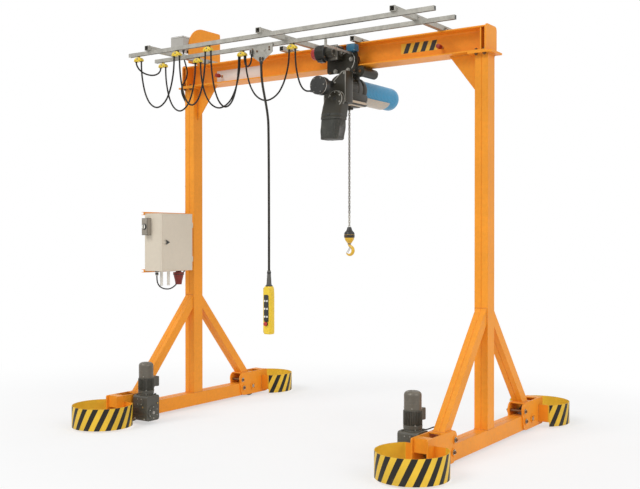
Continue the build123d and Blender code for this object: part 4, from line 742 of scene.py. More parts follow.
class CRANE_OT_stage(CraneOperator):
    """Makes the camera, the lamps, the pale surroundings and the floor"""

    bl_idname = "crane.stage"
    bl_label = "Stage"

    def execute(self, context):
        scene = context.scene
        scene.view_settings.view_transform = "Standard"
        data = bpy.data.cameras.new("camera")
        data.sensor_width = SENSOR
        data.lens = FOCAL_PIXELS / IMAGE_WIDTH * SENSOR
        data.clip_end = 100.0
        camera = bpy.data.objects.new("camera", data)
        camera.location = CAMERA_PLACE
        camera.rotation_euler = (math.radians(90.0 - CAMERA_DOWN), 0.0, math.radians(CAMERA_AZIMUTH))
        scene.collection.objects.link(camera)
        scene.camera = camera
        self.lamp(scene, "key_sun", 1.05, 25.0, (math.radians(50), 0.0, math.radians(-14)))
        self.lamp(scene, "fill_sun", 0.68, 40.0, (math.radians(60), 0.0, math.radians(80)))
        self.surroundings(scene)
        self.floor(scene)
        return {"FINISHED"}

    def lamp(self, scene, name, strength, spread, turn):
        """One soft sun."""
        data = bpy.data.lights.new(name, "SUN")
        data.energy = strength
        data.angle = math.radians(spread)
        lamp = bpy.data.objects.new(name, data)
        lamp.rotation_euler = turn
        lamp.location = (0.0, 0.0, 6.0)
        scene.collection.objects.link(lamp)

    def surroundings(self, scene):
        """White to the camera and in reflections, a plain soft level as light."""
        world = bpy.data.worlds.new("surroundings")
        nodes = Nodes(world)
        light = nodes.node("Background", {"Color": (0.98, 0.99, 1.0), "Strength": 0.62})
        plain = nodes.node("Background", {"Color": (1.0, 1.0, 1.0)})
        blend = nodes.node("MixShader", {0: nodes.seen(), 1: light, 2: plain})
        nodes.put(nodes.tree.nodes.new("ShaderNodeOutputWorld").inputs[0], blend)
        scene.world = world

    def floor(self, scene):
        """A pale floor that keeps the shadow near the crane and fades to white."""
        finish = Finish("floor")
        x, y, _ = finish.axes()
        away = x.sum("SQRT", x * x * 0.6 + y * y)
        fade = away.between(1.8, 4.2)
        speckle = finish.noise(3.0, 4.0)
        pale = finish.mix(speckle, (0.93, 0.93, 0.93), (0.96, 0.96, 0.96))
        matt = finish.node("BsdfDiffuse", {"Color": pale}, output="BSDF")
        white = finish.node("Emission", {"Color": (1.0, 1.0, 1.0), "Strength": 1.0}, output="Emission")
        share = finish.seen() * (fade * 0.45 + 0.55)
        shader = finish.node("MixShader", {0: share, 1: matt, 2: white})
        finish.put(finish.output.inputs[0], shader)
        shape = Shape("floor")
        half, drop = 14.0, 0.0005
        shape.face(shape.row((a, b, -drop) for a, b in corners(half, half)))
        floor = bpy.data.objects.new("floor", shape.mesh("floor"))
        scene.collection.objects.link(floor)


class CRANE_OT_finishes(CraneOperator):
    """Makes the paints, metals, rubber and cloth and gives them to the frame's own nodes"""

    bl_idname = "crane.finishes"
    bl_label = "Finishes"

    def execute(self, context):
        all_finishes()
        other = {
            "junction_box": "grey_plastic", "cabinet_fittings": "pale_plastic",
            "cable_conduit": "pale_plastic",
            "travel_drive_left": "drive_grey", "travel_drive_right": "drive_grey",
            "trolley_stops": "red_rubber", "housing_pins": "bolt_brown", "trolley_ties": "zinc",
        }
        for node, thing in frame["nodes"].items():
            for place in thing.material_slots:
                name = other.get(node, place.material.name.split(".")[0])
                place.material = FINISH[name]
        return {"FINISHED"}


# Cable routes, one for each cable
LOOP_SHARES = (
    (0.0, 0.0), (0.0, 0.18), (0.04, 0.42), (0.12, 0.68), (0.27, 0.9),
    (0.5, 1.0), (0.74, 0.89), (0.88, 0.67), (0.96, 0.42), (1.0, 0.18), (1.0, 0.0),
)
CLAMP_LOW = 3.152
CLAMP_REACH = 0.031
FRONT_Y = -0.825
INNER_Y = -0.505
PITCH = 0.0085
FESTOON = 0.014
FEED_ROUTE = (
    (0.066, -0.505, 3.152), (0.066, -0.505, 3.096), (0.066, -0.5, 3.036), (0.067, -0.488, 2.976),
    (0.069, -0.47, 2.92), (0.074, -0.45, 2.872), (0.088, -0.434, 2.836), (0.113, -0.427, 2.816),
    (0.138, -0.426, 2.81), (0.163, -0.426, 2.81),
)
SUPPLY_ROUTE = (
    (-1.4, -0.25, 3.355), (-1.4, -0.25, 3.31), (-1.396, -0.243, 3.262), (-1.391, -0.225, 3.212),
    (-1.397, -0.2, 3.162), (-1.425, -0.176, 3.117), (-1.47, -0.156, 3.08), (-1.515, -0.14, 3.05),
    (-1.545, -0.122, 3.016), (-1.56, -0.098, 2.98), (-1.5673, -0.066, 2.944), (-1.5673, -0.03, 2.9),
    (-1.5673, -0.03, 2.85),
)
CABINET_ROUTE = (
    (-1.45, -0.547, 1.275), (-1.45, -0.547, 1.232), (-1.452, -0.528, 1.19), (-1.457, -0.486, 1.162),
    (-1.464, -0.43, 1.147), (-1.472, -0.365, 1.143), (-1.48, -0.3, 1.158), (-1.487, -0.24, 1.195),
    (-1.493, -0.19, 1.246), (-1.498, -0.145, 1.296), (-1.5, -0.1, 1.326), (-1.5, -0.06, 1.326),
)
MOTOR_ROUTE = (
    (1.32, -0.725, 0.298), (1.32, -0.725, 0.272), (1.33, -0.722, 0.252), (1.35, -0.716, 0.242),
    (1.375, -0.71, 0.243), (1.399, -0.704, 0.252), (1.42, -0.7, 0.263), (1.437, -0.7, 0.268),
    (1.455, -0.7, 0.268),
)
PENDANT_ROUTE = (
    (-0.258, -0.5403, 3.08), (-0.258, -0.5403, 2.99), (-0.245, -0.541, 2.885), (-0.218, -0.542, 2.77),
    (-0.192, -0.541, 2.65), (-0.177, -0.5403, 2.51), (-0.177, -0.5403, 1.345),
)
BRIDGE_ROUTE = (
    (-0.459, -0.5135, 3.152), (-0.459, -0.5135, 3.057), (-0.36, -0.54, 3.055), (-0.36, -0.54, 3.15),
)
# Share of the hoist's travel that each hanger makes
TRAVEL_SHARES = {
    "frame": 0.0, "front_1": 0.3008, "front_2": 0.519, "inner_1": 0.2744, "inner_2": 0.6165,
    "inner_3": 0.7727, "pendant": 0.6595, "hoist": 1.0,
}
CARRIERS = {
    "front_carrier_1": (-0.94, FRONT_Y), "front_carrier_2": (-0.59, FRONT_Y),
    "inner_carrier_1": (-0.99, INNER_Y), "inner_carrier_2": (-0.49, INNER_Y),
    "inner_carrier_3": (0.035, INNER_Y),
}
END_CLAMPS = ((-1.39, FRONT_Y), (-1.409, INNER_Y))
RAILS = (FRONT_Y, INNER_Y)


def hanging(start, end, sag):
    """Control points of a cable that hangs between two clamps."""
    start, end = Vector((*start, CLAMP_LOW)), Vector((*end, CLAMP_LOW))
    points = []
    for share, drop in LOOP_SHARES:
        point = start.lerp(end, share)
        point.z -= drop * sag
        points.append(tuple(point))
    return points


def cable_line(name, points, radius=0.0):
    """A smooth cable curve with these control points."""
    data = bpy.data.curves.new(name, "CURVE")
    data.dimensions = "3D"
    data.resolution_u = 8
    data.bevel_depth = radius
    data.bevel_resolution = 4
    data.use_fill_caps = True
    spline = data.splines.new("NURBS")
    spline.points.add(len(points) - 1)
    for place, point in zip(spline.points, points):
        place.co = (*point, 1.0)
    spline.order_u = 3
    spline.use_endpoint_u = True
    return data


def line_points(points):
    """Points along the smooth line of a route."""
    data = cable_line("line", points)
    thing = bpy.data.objects.new("line", data)
    bpy.context.scene.collection.objects.link(thing)
    made = bpy.data.meshes.new_from_object(thing)
    path = [vertex.co.copy() for vertex in made.vertices]
    bpy.data.objects.remove(thing)
    bpy.data.curves.remove(data)
    bpy.data.meshes.remove(made)
    return path


def weight_place(weight):
    """Where the smooth blend from zero to one has this weight."""
    return 0.5 - math.sin(math.asin(1.0 - 2.0 * weight) / 3.0)


def blend_between(thing, start, end, low, high):
    """Bakes a piece's transform into its mesh; the line from low of the hoist's travel at start to high at
    end is worked out but not applied.
    """
    start, end = Vector(start), Vector(end)
    first, last = weight_place(low), weight_place(high)
    whole = (end - start) / (last - first)
    begin = start - whole * first
    tuple(begin + whole)
    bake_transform(thing)


class CRANE_OT_cables(CraneOperator):
    """Hangs the festoon's loops, the feed to the hoist and the push-button station's cable"""

    bl_idname = "crane.cables"
    bl_label = "Cables"

    def execute(self, context):
        front, inner = "front_festoon_cable", "inner_festoon_cable"
        beside = INNER_Y - PITCH
        behind = INNER_Y + PITCH
        reach = CLAMP_REACH
        loops = (
            ("loop_front_1", (-1.39 + reach, FRONT_Y), (-0.94 - reach, FRONT_Y), 0.427, "frame", "front_1",
             0.997, front),
            ("loop_front_2", (-0.94 + reach, FRONT_Y), (-0.59 - reach, FRONT_Y), 0.439, "front_1", "front_2",
             0.959, front),
            ("loop_crossing", (-0.59 + reach, FRONT_Y), (-0.49 - reach, beside), 0.455, "front_2", "inner_2",
             1.003, front),
            ("loop_inner_1", (-1.409 + reach, INNER_Y), (-0.99 - reach, INNER_Y), 0.418, "frame", "inner_1",
             0.962, inner),
            ("loop_inner_2", (-0.99 + reach, INNER_Y), (-0.49 - reach, behind), 0.427, "inner_1", "inner_2",
             1.029, inner),
            ("loop_inner_3", (-0.49 + reach, behind), (0.035 - reach, INNER_Y), 0.405, "inner_2", "inner_3",
             1.008, inner),
        )
        for name, start, end, sag, low, high, length, node in loops:
            self.loop(name, hanging(start, end, sag), low, high, length, node)
        self.loop("loop_bridge", BRIDGE_ROUTE, "inner_2", "pendant", 0.242, front)
        self.loop("hoist_feed", FEED_ROUTE, "inner_3", "hoist", 0.412, inner)
        self.fixed("supply_cable", SUPPLY_ROUTE, FESTOON, 0.625, "medium")
        self.fixed("cabinet_loop", CABINET_ROUTE, 0.012, 0.63, "limp")
        link = hanging((-1.39 - reach, FRONT_Y), (-1.409 - reach, INNER_Y), 0.09)
        self.fixed("rail_link", link, FESTOON, 0.402, "medium")
        for side, leg in LEGS.items():
            route = [(leg * x, y, z) for x, y, z in MOTOR_ROUTE]
            self.fixed(f"motor_cable_{side}", route, 0.009, 0.182, "medium")
        data = cable_line("pendant_line", PENDANT_ROUTE, 0.01)
        data.materials.append(FINISH["pendant_rubber"])
        cable = place_piece("pendant_line", data, ["pendant_cable"])
        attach(cable, "pendant_trolley")
        return {"FINISHED"}

    def loop(self, name, points, low, high, length, node):
        """One cable between two hangers."""
        path = line_points(points)
        data = Shape("black_rubber").tube(path, FESTOON / 2, 12).mesh(name)
        cable = place_piece(name, data, [node])
        blend_between(cable, points[0], points[-1], TRAVEL_SHARES[low], TRAVEL_SHARES[high])

    def fixed(self, name, points, diameter, length, stiffness):
        """One cable that stays with the frame."""
        data = cable_line(name, points, diameter / 2)
        data.materials.append(FINISH["black_rubber"])
        cable = place_piece(name, data, ["frame_cables"])
        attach(cable, "frame")


def link_path(centre, turned, pitch, wire):
    """The middle line of one chain link, upright, its flat side turned or not."""
    half = pitch / 2 + wire
    width = wire * 2.15
    points = []
    for angle in around(16):
        across = width * math.cos(angle)
        up = width * math.sin(angle) + math.copysign(half - width, math.sin(angle))
        place = (0.0, across, up) if turned else (across, 0.0, up)
        points.append(Vector(centre) + Vector(place))
    return points


class CRANE_OT_chain(CraneOperator):
    """Links the load chain, in overlapping lengths set at staggered heights"""

    bl_idname = "crane.chain"
    bl_label = "Load chain"

    def execute(self, context):
        pitch, wire = sizes().link_pitch, sizes().link_wire
        bottom = 1.7
        raised, lengths, count = 0.97, 8, 16
        for part in range(1, lengths + 1):
            steps = round(part / lengths * raised / pitch)
            low = bottom + (round(raised / pitch) - steps) * pitch
            shape = Shape("chain_steel")
            for i in range(count):
                centre = low + (i + 0.5) * pitch
                number = round((centre - bottom) / pitch - 0.5)
                shape.tube(link_path((CHAIN_X, 0.0, centre), number % 2, pitch, wire), wire, 7, closed=True)
            thing = place_piece(f"load_chain_{part}", shape.mesh("load_chain"), ["load_chain"])
            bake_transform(thing)
        return {"FINISHED"}


class CRANE_OT_hook(CraneOperator):
    """Turns the hook block and forges the hook with its latch"""

    bl_idname = "crane.hook"
    bl_label = "Hook"

    def execute(self, context):
        x = CHAIN_X
        shape = Shape("black_plastic")
        shape.turned([(0.0125, 1.706), (0.017, 1.7035), (0.0195, 1.698), (0.0215, 1.686), (0.028, 1.674),
                      (0.038, 1.664), (0.0435, 1.654), (0.045, 1.645), (0.045, 1.6435)], (x, 0, 0), steps=36)
        shape.use("brass").ring((x, 0, 1.6405), UP, 0.02, 0.044, 0.003, 36)
        shape.use("black_plastic").turned([(0.045, 1.6405), (0.045, 1.622), (0.0425, 1.616)], (x, 0, 0),
                                          steps=36)
        shape.use("yellow_paint").turned([(0.041, 1.616), (0.04, 1.606), (0.035, 1.594), (0.026, 1.582),
                                          (0.0215, 1.575), (0.02, 1.571)], (x, 0, 0), steps=36)
        shape.use("bolt_brown")
        for side in (-1, 1):
            shape.bolt((x, side * 0.0425, 1.631), (0, side, 0), 0.0075)
            shape.screw((x + side * 0.0425, 0, 1.631), (side, 0, 0), 0.005)
        shape.piece("hook_block_shell", "hook_block", "dark_paint", replaces=["hook_block"])
        centre = 1.5077
        bowl = 0.037
        points, radii = [], []
        for z, radius in ((1.57, 0.0138), (1.564, 0.014), (1.558, 0.012), (1.551, 0.0108)):
            points.append((x, 0, z))
            radii.append(radius)
        steps = 26
        for i in range(1, steps + 1):
            share = i / steps
            angle = math.radians(90.0 - 222.0 * share)
            points.append((x + bowl * math.cos(angle), 0, centre + bowl * math.sin(angle)))
            thick = 0.0108 + 0.0034 * math.sin(math.pi * min(share * 1.25, 1.0))
            radii.append(thick * (1.0 - 0.45 * max(0.0, share - 0.78) / 0.22))
        hook = Shape("yellow_paint")
        hook.tube(points, radii, 18)
        tip = Vector(points[-1])
        hook.lathe([(0, -0.004), (0.0045, -0.003), (0.0062, 0.0), (0.0045, 0.003), (0, 0.004)], tip, REAR, 16)
        hook.use("black_plastic").ring((x, 0, 1.5605), UP, 0.01, 0.0165, 0.0055, 28)
        pivot = Vector((x + 0.0145, 0, 1.5395))
        hook.use("zinc").rod(*((pivot.x, y, pivot.z) for y in pair(0.0125)), 0.0028, 12)
        for side in (-1, 1):
            outline = [(pivot.x - 0.003, pivot.z + 0.004), (pivot.x + 0.004, pivot.z + 0.002),
                       (tip.x + 0.004, tip.z + 0.006), (tip.x - 0.002, tip.z + 0.004)]
            hook.prism(outline, side * 0.0095, side * 0.011, "Y", 0.0003)
        hook.piece("forged_hook", "hook", "yellow_paint", replaces=["hook"])
        return {"FINISHED"}


class CRANE_OT_frame_bolts(CraneOperator):
    """Sets the bolts of the head plates, the wheel housings and the cross arms"""

    bl_idname = "crane.frame_bolts"
    bl_label = "Frame bolts"

    def execute(self, context):
        for side, leg in LEGS.items():
            shape = Shape("bolt_brown")
            for z, axis in ((3.025, DOWN), (3.05, UP)):
                shape.bolts(grid(pair(0.034, leg * LEG_X), pair(0.082), z), axis, sizes().bolt)
            shape.piece(f"head_bolts_{side}", "frame", "zinc")
            self.housings(side, leg)
        self.arms()
        return {"FINISHED"}

    def housings(self, side, leg):
        """Pin nuts in their recesses, axle caps and the light rings round them; the light rings are painted
        highlights.
        """
        shape = Shape("bolt_brown")
        for end, face in product(ENDS.values(), (-1, 1)):
            x, axis = leg * LEG_X + face * 0.067, (face, 0, 0)
            for y, z in ((end * 0.646, 0.182), (end * 0.668, 0.098)):
                shape.use("orange_paint").ring((x, y, z), axis, 0.0205, 0.03, 0.007, 32)
                # Painted highlight: a light ring round each pin nut.
                shape.use("bright_rim").ring((x + face * 0.0102, y, z), axis, 0.0135, 0.0185, 0.0012)
                shape.use("bolt_brown").bolt((x + face * 0.01, y, z), axis, 0.0125, washer=False)
            y = end * WHEEL_Y
            shape.use("orange_paint").ring((x, y, WHEEL_Z), axis, 0.0165, 0.034, 0.009, 36)
            spots = circle((x + face * 0.009, y, WHEEL_Z), axis, 0.0255, 4, math.pi / 4)
            shape.use("bolt_brown").screws(spots, axis, 0.0042)
            if end > 0 or face == leg:
                shape.use("zinc").ring((x + face * 0.0098, y, WHEEL_Z), axis, 0.007, 0.0145, 0.0012, 24)
        shape.piece(f"housing_bolts_{side}", "frame", "zinc")

    def arms(self):
        """Clips and bolts where the cross arms hold the rails and lie on the girder."""
        shape = Shape("zinc")
        arms = (-1.259, -0.04, 1.178)
        for x, y in product(arms, RAILS):
            shape.bolt((x, y, 3.27), UP, 0.0085)
            for face in (-1, 1):
                shape.block((x + face * 0.0215, y, 3.2466), (0.0015, 0.014, 0.0154), 0.0008)
                shape.bolt((x + face * 0.023, y, 3.252), (face, 0, 0), 0.0055)
        for x, y, face in product((*arms, -0.312, 0.411), (-0.07, 0.05), (-1, 1)):
            foot, wall = x + face * 0.0365, x + face * 0.0225
            shape.use("zinc").block((foot, y, 3.2322), (0.0155, 0.015, 0.002))
            shape.block((wall, y, 3.2481), (0.002, 0.015, 0.0139))
            shape.use("bolt_brown").bolt((foot + face * 0.004, y, 3.2342), UP, 0.0075)
            shape.bolt((wall + face * 0.002, y, 3.251), (face, 0, 0), 0.006)
        shape.use("black_plastic")
        for y, side in product(RAILS, (-1, 1)):
            x = side * 1.4985
            shape.box((x - 0.003, y - 0.0125, 3.2005), (x + side * 0.0005 + 0.0015, y + 0.0125, 3.2275))
        shape.piece("arm_clips", "frame", "zinc")


class CRANE_OT_welds(CraneOperator):
    """Lays the weld beads of the two legs and the girder's ends"""

    bl_idname = "crane.welds"
    bl_label = "Welds"

    def execute(self, context):
        for side, leg in LEGS.items():
            shape = Shape("weld_orange")
            x = leg * LEG_X
            for z in (3.0235, 0.1465):
                shape.weld_round([(x + a, b, z) for a, b in corners(0.055, 0.06)])
            for y in pair(0.0065):
                shape.weld((x - leg * 0.057, y, 2.732), (x - leg * 0.057, y, 3.02))
                shape.weld((x - leg * 0.104, y, 3.038), (x - leg * 0.292, y, 3.038))
            for end in ENDS.values():
                shape.weld_round([(x + a, end * 0.713 + b, 0.2515) for a, b in corners(0.0455, 0.0526)])
                shape.weld_round([(x + a, end * 0.0615, 1.015 + b) for a, b in corners(0.0455, 0.062)])
                for wall in pair(0.0685, x):
                    shape.weld((wall, end * 0.9555, 0.052), (wall, end * 0.9555, 0.193), 0.007)
            for y in pair(0.0985):
                shape.weld((leg * 1.5435, y, 3.052), (leg * 1.5435, y, 3.218), 0.006)
            shape.piece(f"welds_{side}", "frame", "orange_paint", smooth=60)
        return {"FINISHED"}


class CRANE_OT_travel_drives(CraneOperator):
    """Adds the fins, cowls, lids, covers and bolts of the two travel drives"""

    bl_idname = "crane.travel_drives"
    bl_label = "Travel drives"

    def execute(self, context):
        for side, leg in LEGS.items():
            x, y = leg * 1.32, -WHEEL_Y
            self.motor(side, x, y)
            self.cowl(side, x, y)
            self.gearbox(side, leg, x, y)
        return {"FINISHED"}

    def motor(self, side, x, y):
        """Upright cooling fins, flanges with bolts and the terminal box."""
        shape = Shape("drive_grey")
        bare = math.radians(50)
        angles = [angle for angle in around(34) if abs(math.atan2(math.cos(angle), math.sin(angle))) >= bare]
        shape.spokes((x, y, 0.342), "Z", angles, (0.0605, 0, 0), (0.0035 + sizes().fin / 2, 0.0015, 0.049),
                     0.0006)
        shape.ring((x, y, 0.28), UP, 0.05, 0.0695, 0.0105, 44)
        shape.ring((x, y, 0.391), UP, 0.05, 0.064, 0.0085, 44)
        shape.use("zinc").bolts(circle((x, y, 0.2905), UP, 0.0635, 4, math.pi / 4), UP, 0.0058)
        shape.bolts(circle((x, y, 0.266), UP, 0.0635, 4, math.pi / 4), DOWN, 0.0052)
        shape.use("drive_grey").block((x, y + 0.1015, 0.356), (0.0435, 0.016, 0.0435), 0.006)
        shape.block((x, y + 0.118, 0.356), (0.04, 0.0015, 0.04), 0.0025)
        shape.use("zinc").screws(grid(pair(0.034, x), y + 0.119, pair(0.034, 0.356)), REAR, 0.0036)
        shape.use("black_plastic").disc((x, -0.725, 0.3065), UP, 0.0125, 0.007, 6)
        shape.turned([(0.0075, 0), (0.0108, 0.004), (0.0108, 0.01)], (x, -0.725, 0.2965), steps=20)
        shape.piece(f"motor_body_{side}", "frame", "dark_paint")

    def cowl(self, side, x, y):
        """Domed fan cover with its grille."""
        shape = Shape("cowl_paint")
        profile = [(0, 0.4), (0.0612, 0.4), (0.0628, 0.4015), (0.0628, 0.478), (0.0632, 0.502)]
        profile += arc(0.0352, 0.502, 0.028, 0, 90, 8)
        profile += [(0.0345, 0.53), (0.0335, 0.527), (0.0335, 0.5255), (0, 0.5255)]
        shape.lathe(profile, (x, y, 0), steps=48)
        shape.use("black_plastic").disc((x, y, 0.5256), UP, 0.0334, 0.0032, 36)
        shape.use("cowl_paint")
        for radius in (0.0085, 0.015, 0.0215, 0.028):
            shape.ring((x, y, 0.5286), UP, radius - 0.0012, radius + 0.0012, 0.0022, 36, 0.0004)
        shape.spokes((x, y, 0.5297), "Z", around(6), (0.019, 0, 0), (0.0145, 0.0013, 0.0009), 0.0003)
        shape.lathe([(0, 0), (0.006, 0), (0.006, 0.002), (0.0045, 0.003), (0, 0.0032)], (x, y, 0.529),
                    steps=20)
        shape.use("zinc")
        for place in circle((x, y, 0.412), UP, 0.0626, 4, 0.4):
            shape.screw(place, (place[0] - x, place[1] - y, 0), 0.004)
        for z in (0.4405, 0.4605):
            shape.use("cowl_paint").ring((x, y, z), UP, 0.06, 0.0638, 0.0024, 48, 0.0008)
        shape.piece(f"motor_cowl_{side}", "frame", "dark_paint")

    def gearbox(self, side, leg, x, y):
        """Round covers, ribs, plugs and feet of the worm gearbox."""
        shape = Shape("drive_grey")
        inner, front, worm = x - leg * 0.083, y - 0.075, 0.196
        axis = (-leg, 0, 0)
        shape.ring((inner, y, WHEEL_Z), axis, 0.019, 0.06, 0.006, 44, 0.0015)
        shape.ring((inner - leg * 0.0055, y, WHEEL_Z), axis, 0.019, 0.036, 0.006, 36, 0.001)
        spots = circle((inner - leg * 0.0058, y, WHEEL_Z), axis, 0.0485, 6, math.pi / 6)
        shape.use("zinc").bolts(spots, axis, 0.0052, washer=False)
        shape.use("drive_grey").ring((x + leg * 0.083, y, WHEEL_Z), (leg, 0, 0), 0.05, 0.066, 0.0085, 40,
                                     0.0015)
        for z in (0.074, 0.106, 0.138):
            shape.box((x - 0.06, front - 0.0045, z), (x + 0.06, front + 0.002, z + 0.0055), 0.0015)
        shape.box((x - 0.0665, front - 0.003, 0.036), (x + 0.0665, front + 0.006, 0.062), 0.003)
        shape.ring((x, front + 0.0005, worm), FRONT, 0.012, 0.04, 0.0065, 36, 0.0015)
        shape.lathe([(0, 0), (0.0125, 0), (0.0125, 0.0045), (0, 0.005)], (x, front - 0.002, worm), FRONT, 20)
        spots = circle((x, front - 0.0058, worm), FRONT, 0.031, 4, math.pi / 4)
        shape.use("zinc").screws(spots, FRONT, 0.0042)
        shape.bolts(grid(pair(0.055, x), front - 0.0028, 0.049), FRONT, 0.0062)
        shape.use("drive_grey")
        for place in grid(pair(0.055, x), pair(0.055, y), 0.2475):
            shape.lathe([(0, 0), (0.0095, 0), (0.0085, 0.01), (0, 0.011)], place, steps=16)
        shape.use("brass").bolt((x - leg * 0.0835, y + 0.052, 0.175), axis, 0.0075, washer=False, stud=False)
        shape.bolt((x + 0.035, front, 0.15), FRONT, 0.0075, washer=False, stud=False)
        shape.use("drive_grey").ring((x, y, 0.2475), UP, 0.055, 0.0665, 0.008, 44, 0.0015)
        shape.piece(f"gearbox_covers_{side}", "frame", "dark_paint")


class CRANE_OT_wheels(CraneOperator):
    """Puts the tyres, hub rings and bolts on the wheels"""

    bl_idname = "crane.wheels"
    bl_label = "Wheels"

    def execute(self, context):
        for (side, leg), (name, end) in product(LEGS.items(), ENDS.items()):
            self.wheel(f"{side}_{name}", leg * LEG_X, end * WHEEL_Y)
        return {"FINISHED"}

    def wheel(self, name, x, y):
        """Crowned tyre and the bolts of one wheel."""
        shape = Shape("tread")
        profile = [(0.0848, 0.0), (0.0968, 0.0), (0.0992, 0.004), (0.0999, 0.014), (0.0999, 0.037),
                   (0.0992, 0.047), (0.0968, 0.051), (0.0848, 0.051)]
        shape.lathe(profile, (x - 0.0255, y, WHEEL_Z), RIGHT, 64, ring=True)
        for face in (-1, 1):
            axis, place = (face, 0, 0), (x + face * 0.008, y, WHEEL_Z)
            shape.use("zinc").ring(place, axis, 0.0345, 0.042, 0.003, 40)
            shape.use("bolt_brown").bolts(circle(place, axis, 0.058, 5), axis, 0.0065)
        shape.piece(f"tyre_{name}", f"wheel_{name}", "tread")


class CRANE_OT_festoon(CraneOperator):
    """Details the cable carriers with their rollers, and the end clamps"""

    bl_idname = "crane.festoon"
    bl_label = "Festoon hardware"

    def execute(self, context):
        for name, (x, y) in CARRIERS.items():
            self.carrier(f"{name}_parts", name, x, y)
        for number, (x, y) in enumerate(END_CLAMPS):
            self.carrier(f"end_clamp_{number}_parts", "frame", x, y, fixed=True)
        return {"FINISHED"}

    def carrier(self, name, body, x, y, fixed=False):
        """A saddle's ribs, bolts, cable grommets and rollers."""
        shape = Shape("yellow_plastic")
        outline = [(x + 0.0415 * math.cos(angle), 3.159 + 0.0285 * math.sin(angle))
                   for angle in (math.pi * (12 - i) / 12 for i in range(13))]
        outline += [(x + 0.0415, 3.1535), (x - 0.0415, 3.1535)]
        for face in (-1, 1):
            side, axis = y + face * 0.02, (0, face, 0)
            shape.use("yellow_plastic").prism(outline, y + face * 0.017, side, "Y", 0.0008)
            shape.use("zinc").bolt((x, side, 3.174), axis, 0.0058)
            shape.block((x, y + face * 0.0036, 3.1895), (0.0125, 0.0012, 0.0075), 0.0005)
            shape.use("bolt_brown").screws(grid(pair(0.024, x), side, 3.16), axis, 0.0036)
        shape.use("black_plastic")
        for clip in pair(CLAMP_REACH, x):
            shape.ring((clip, y, 3.1465), UP, 0.0072, 0.0105, 0.0075, 24)
        if not fixed:
            for roller in pair(0.016, x):
                shape.disc((roller, y - 0.0065, 3.1905), REAR, 0.0052, 0.013, 16)
        shape.piece(name, body, "yellow_plastic")


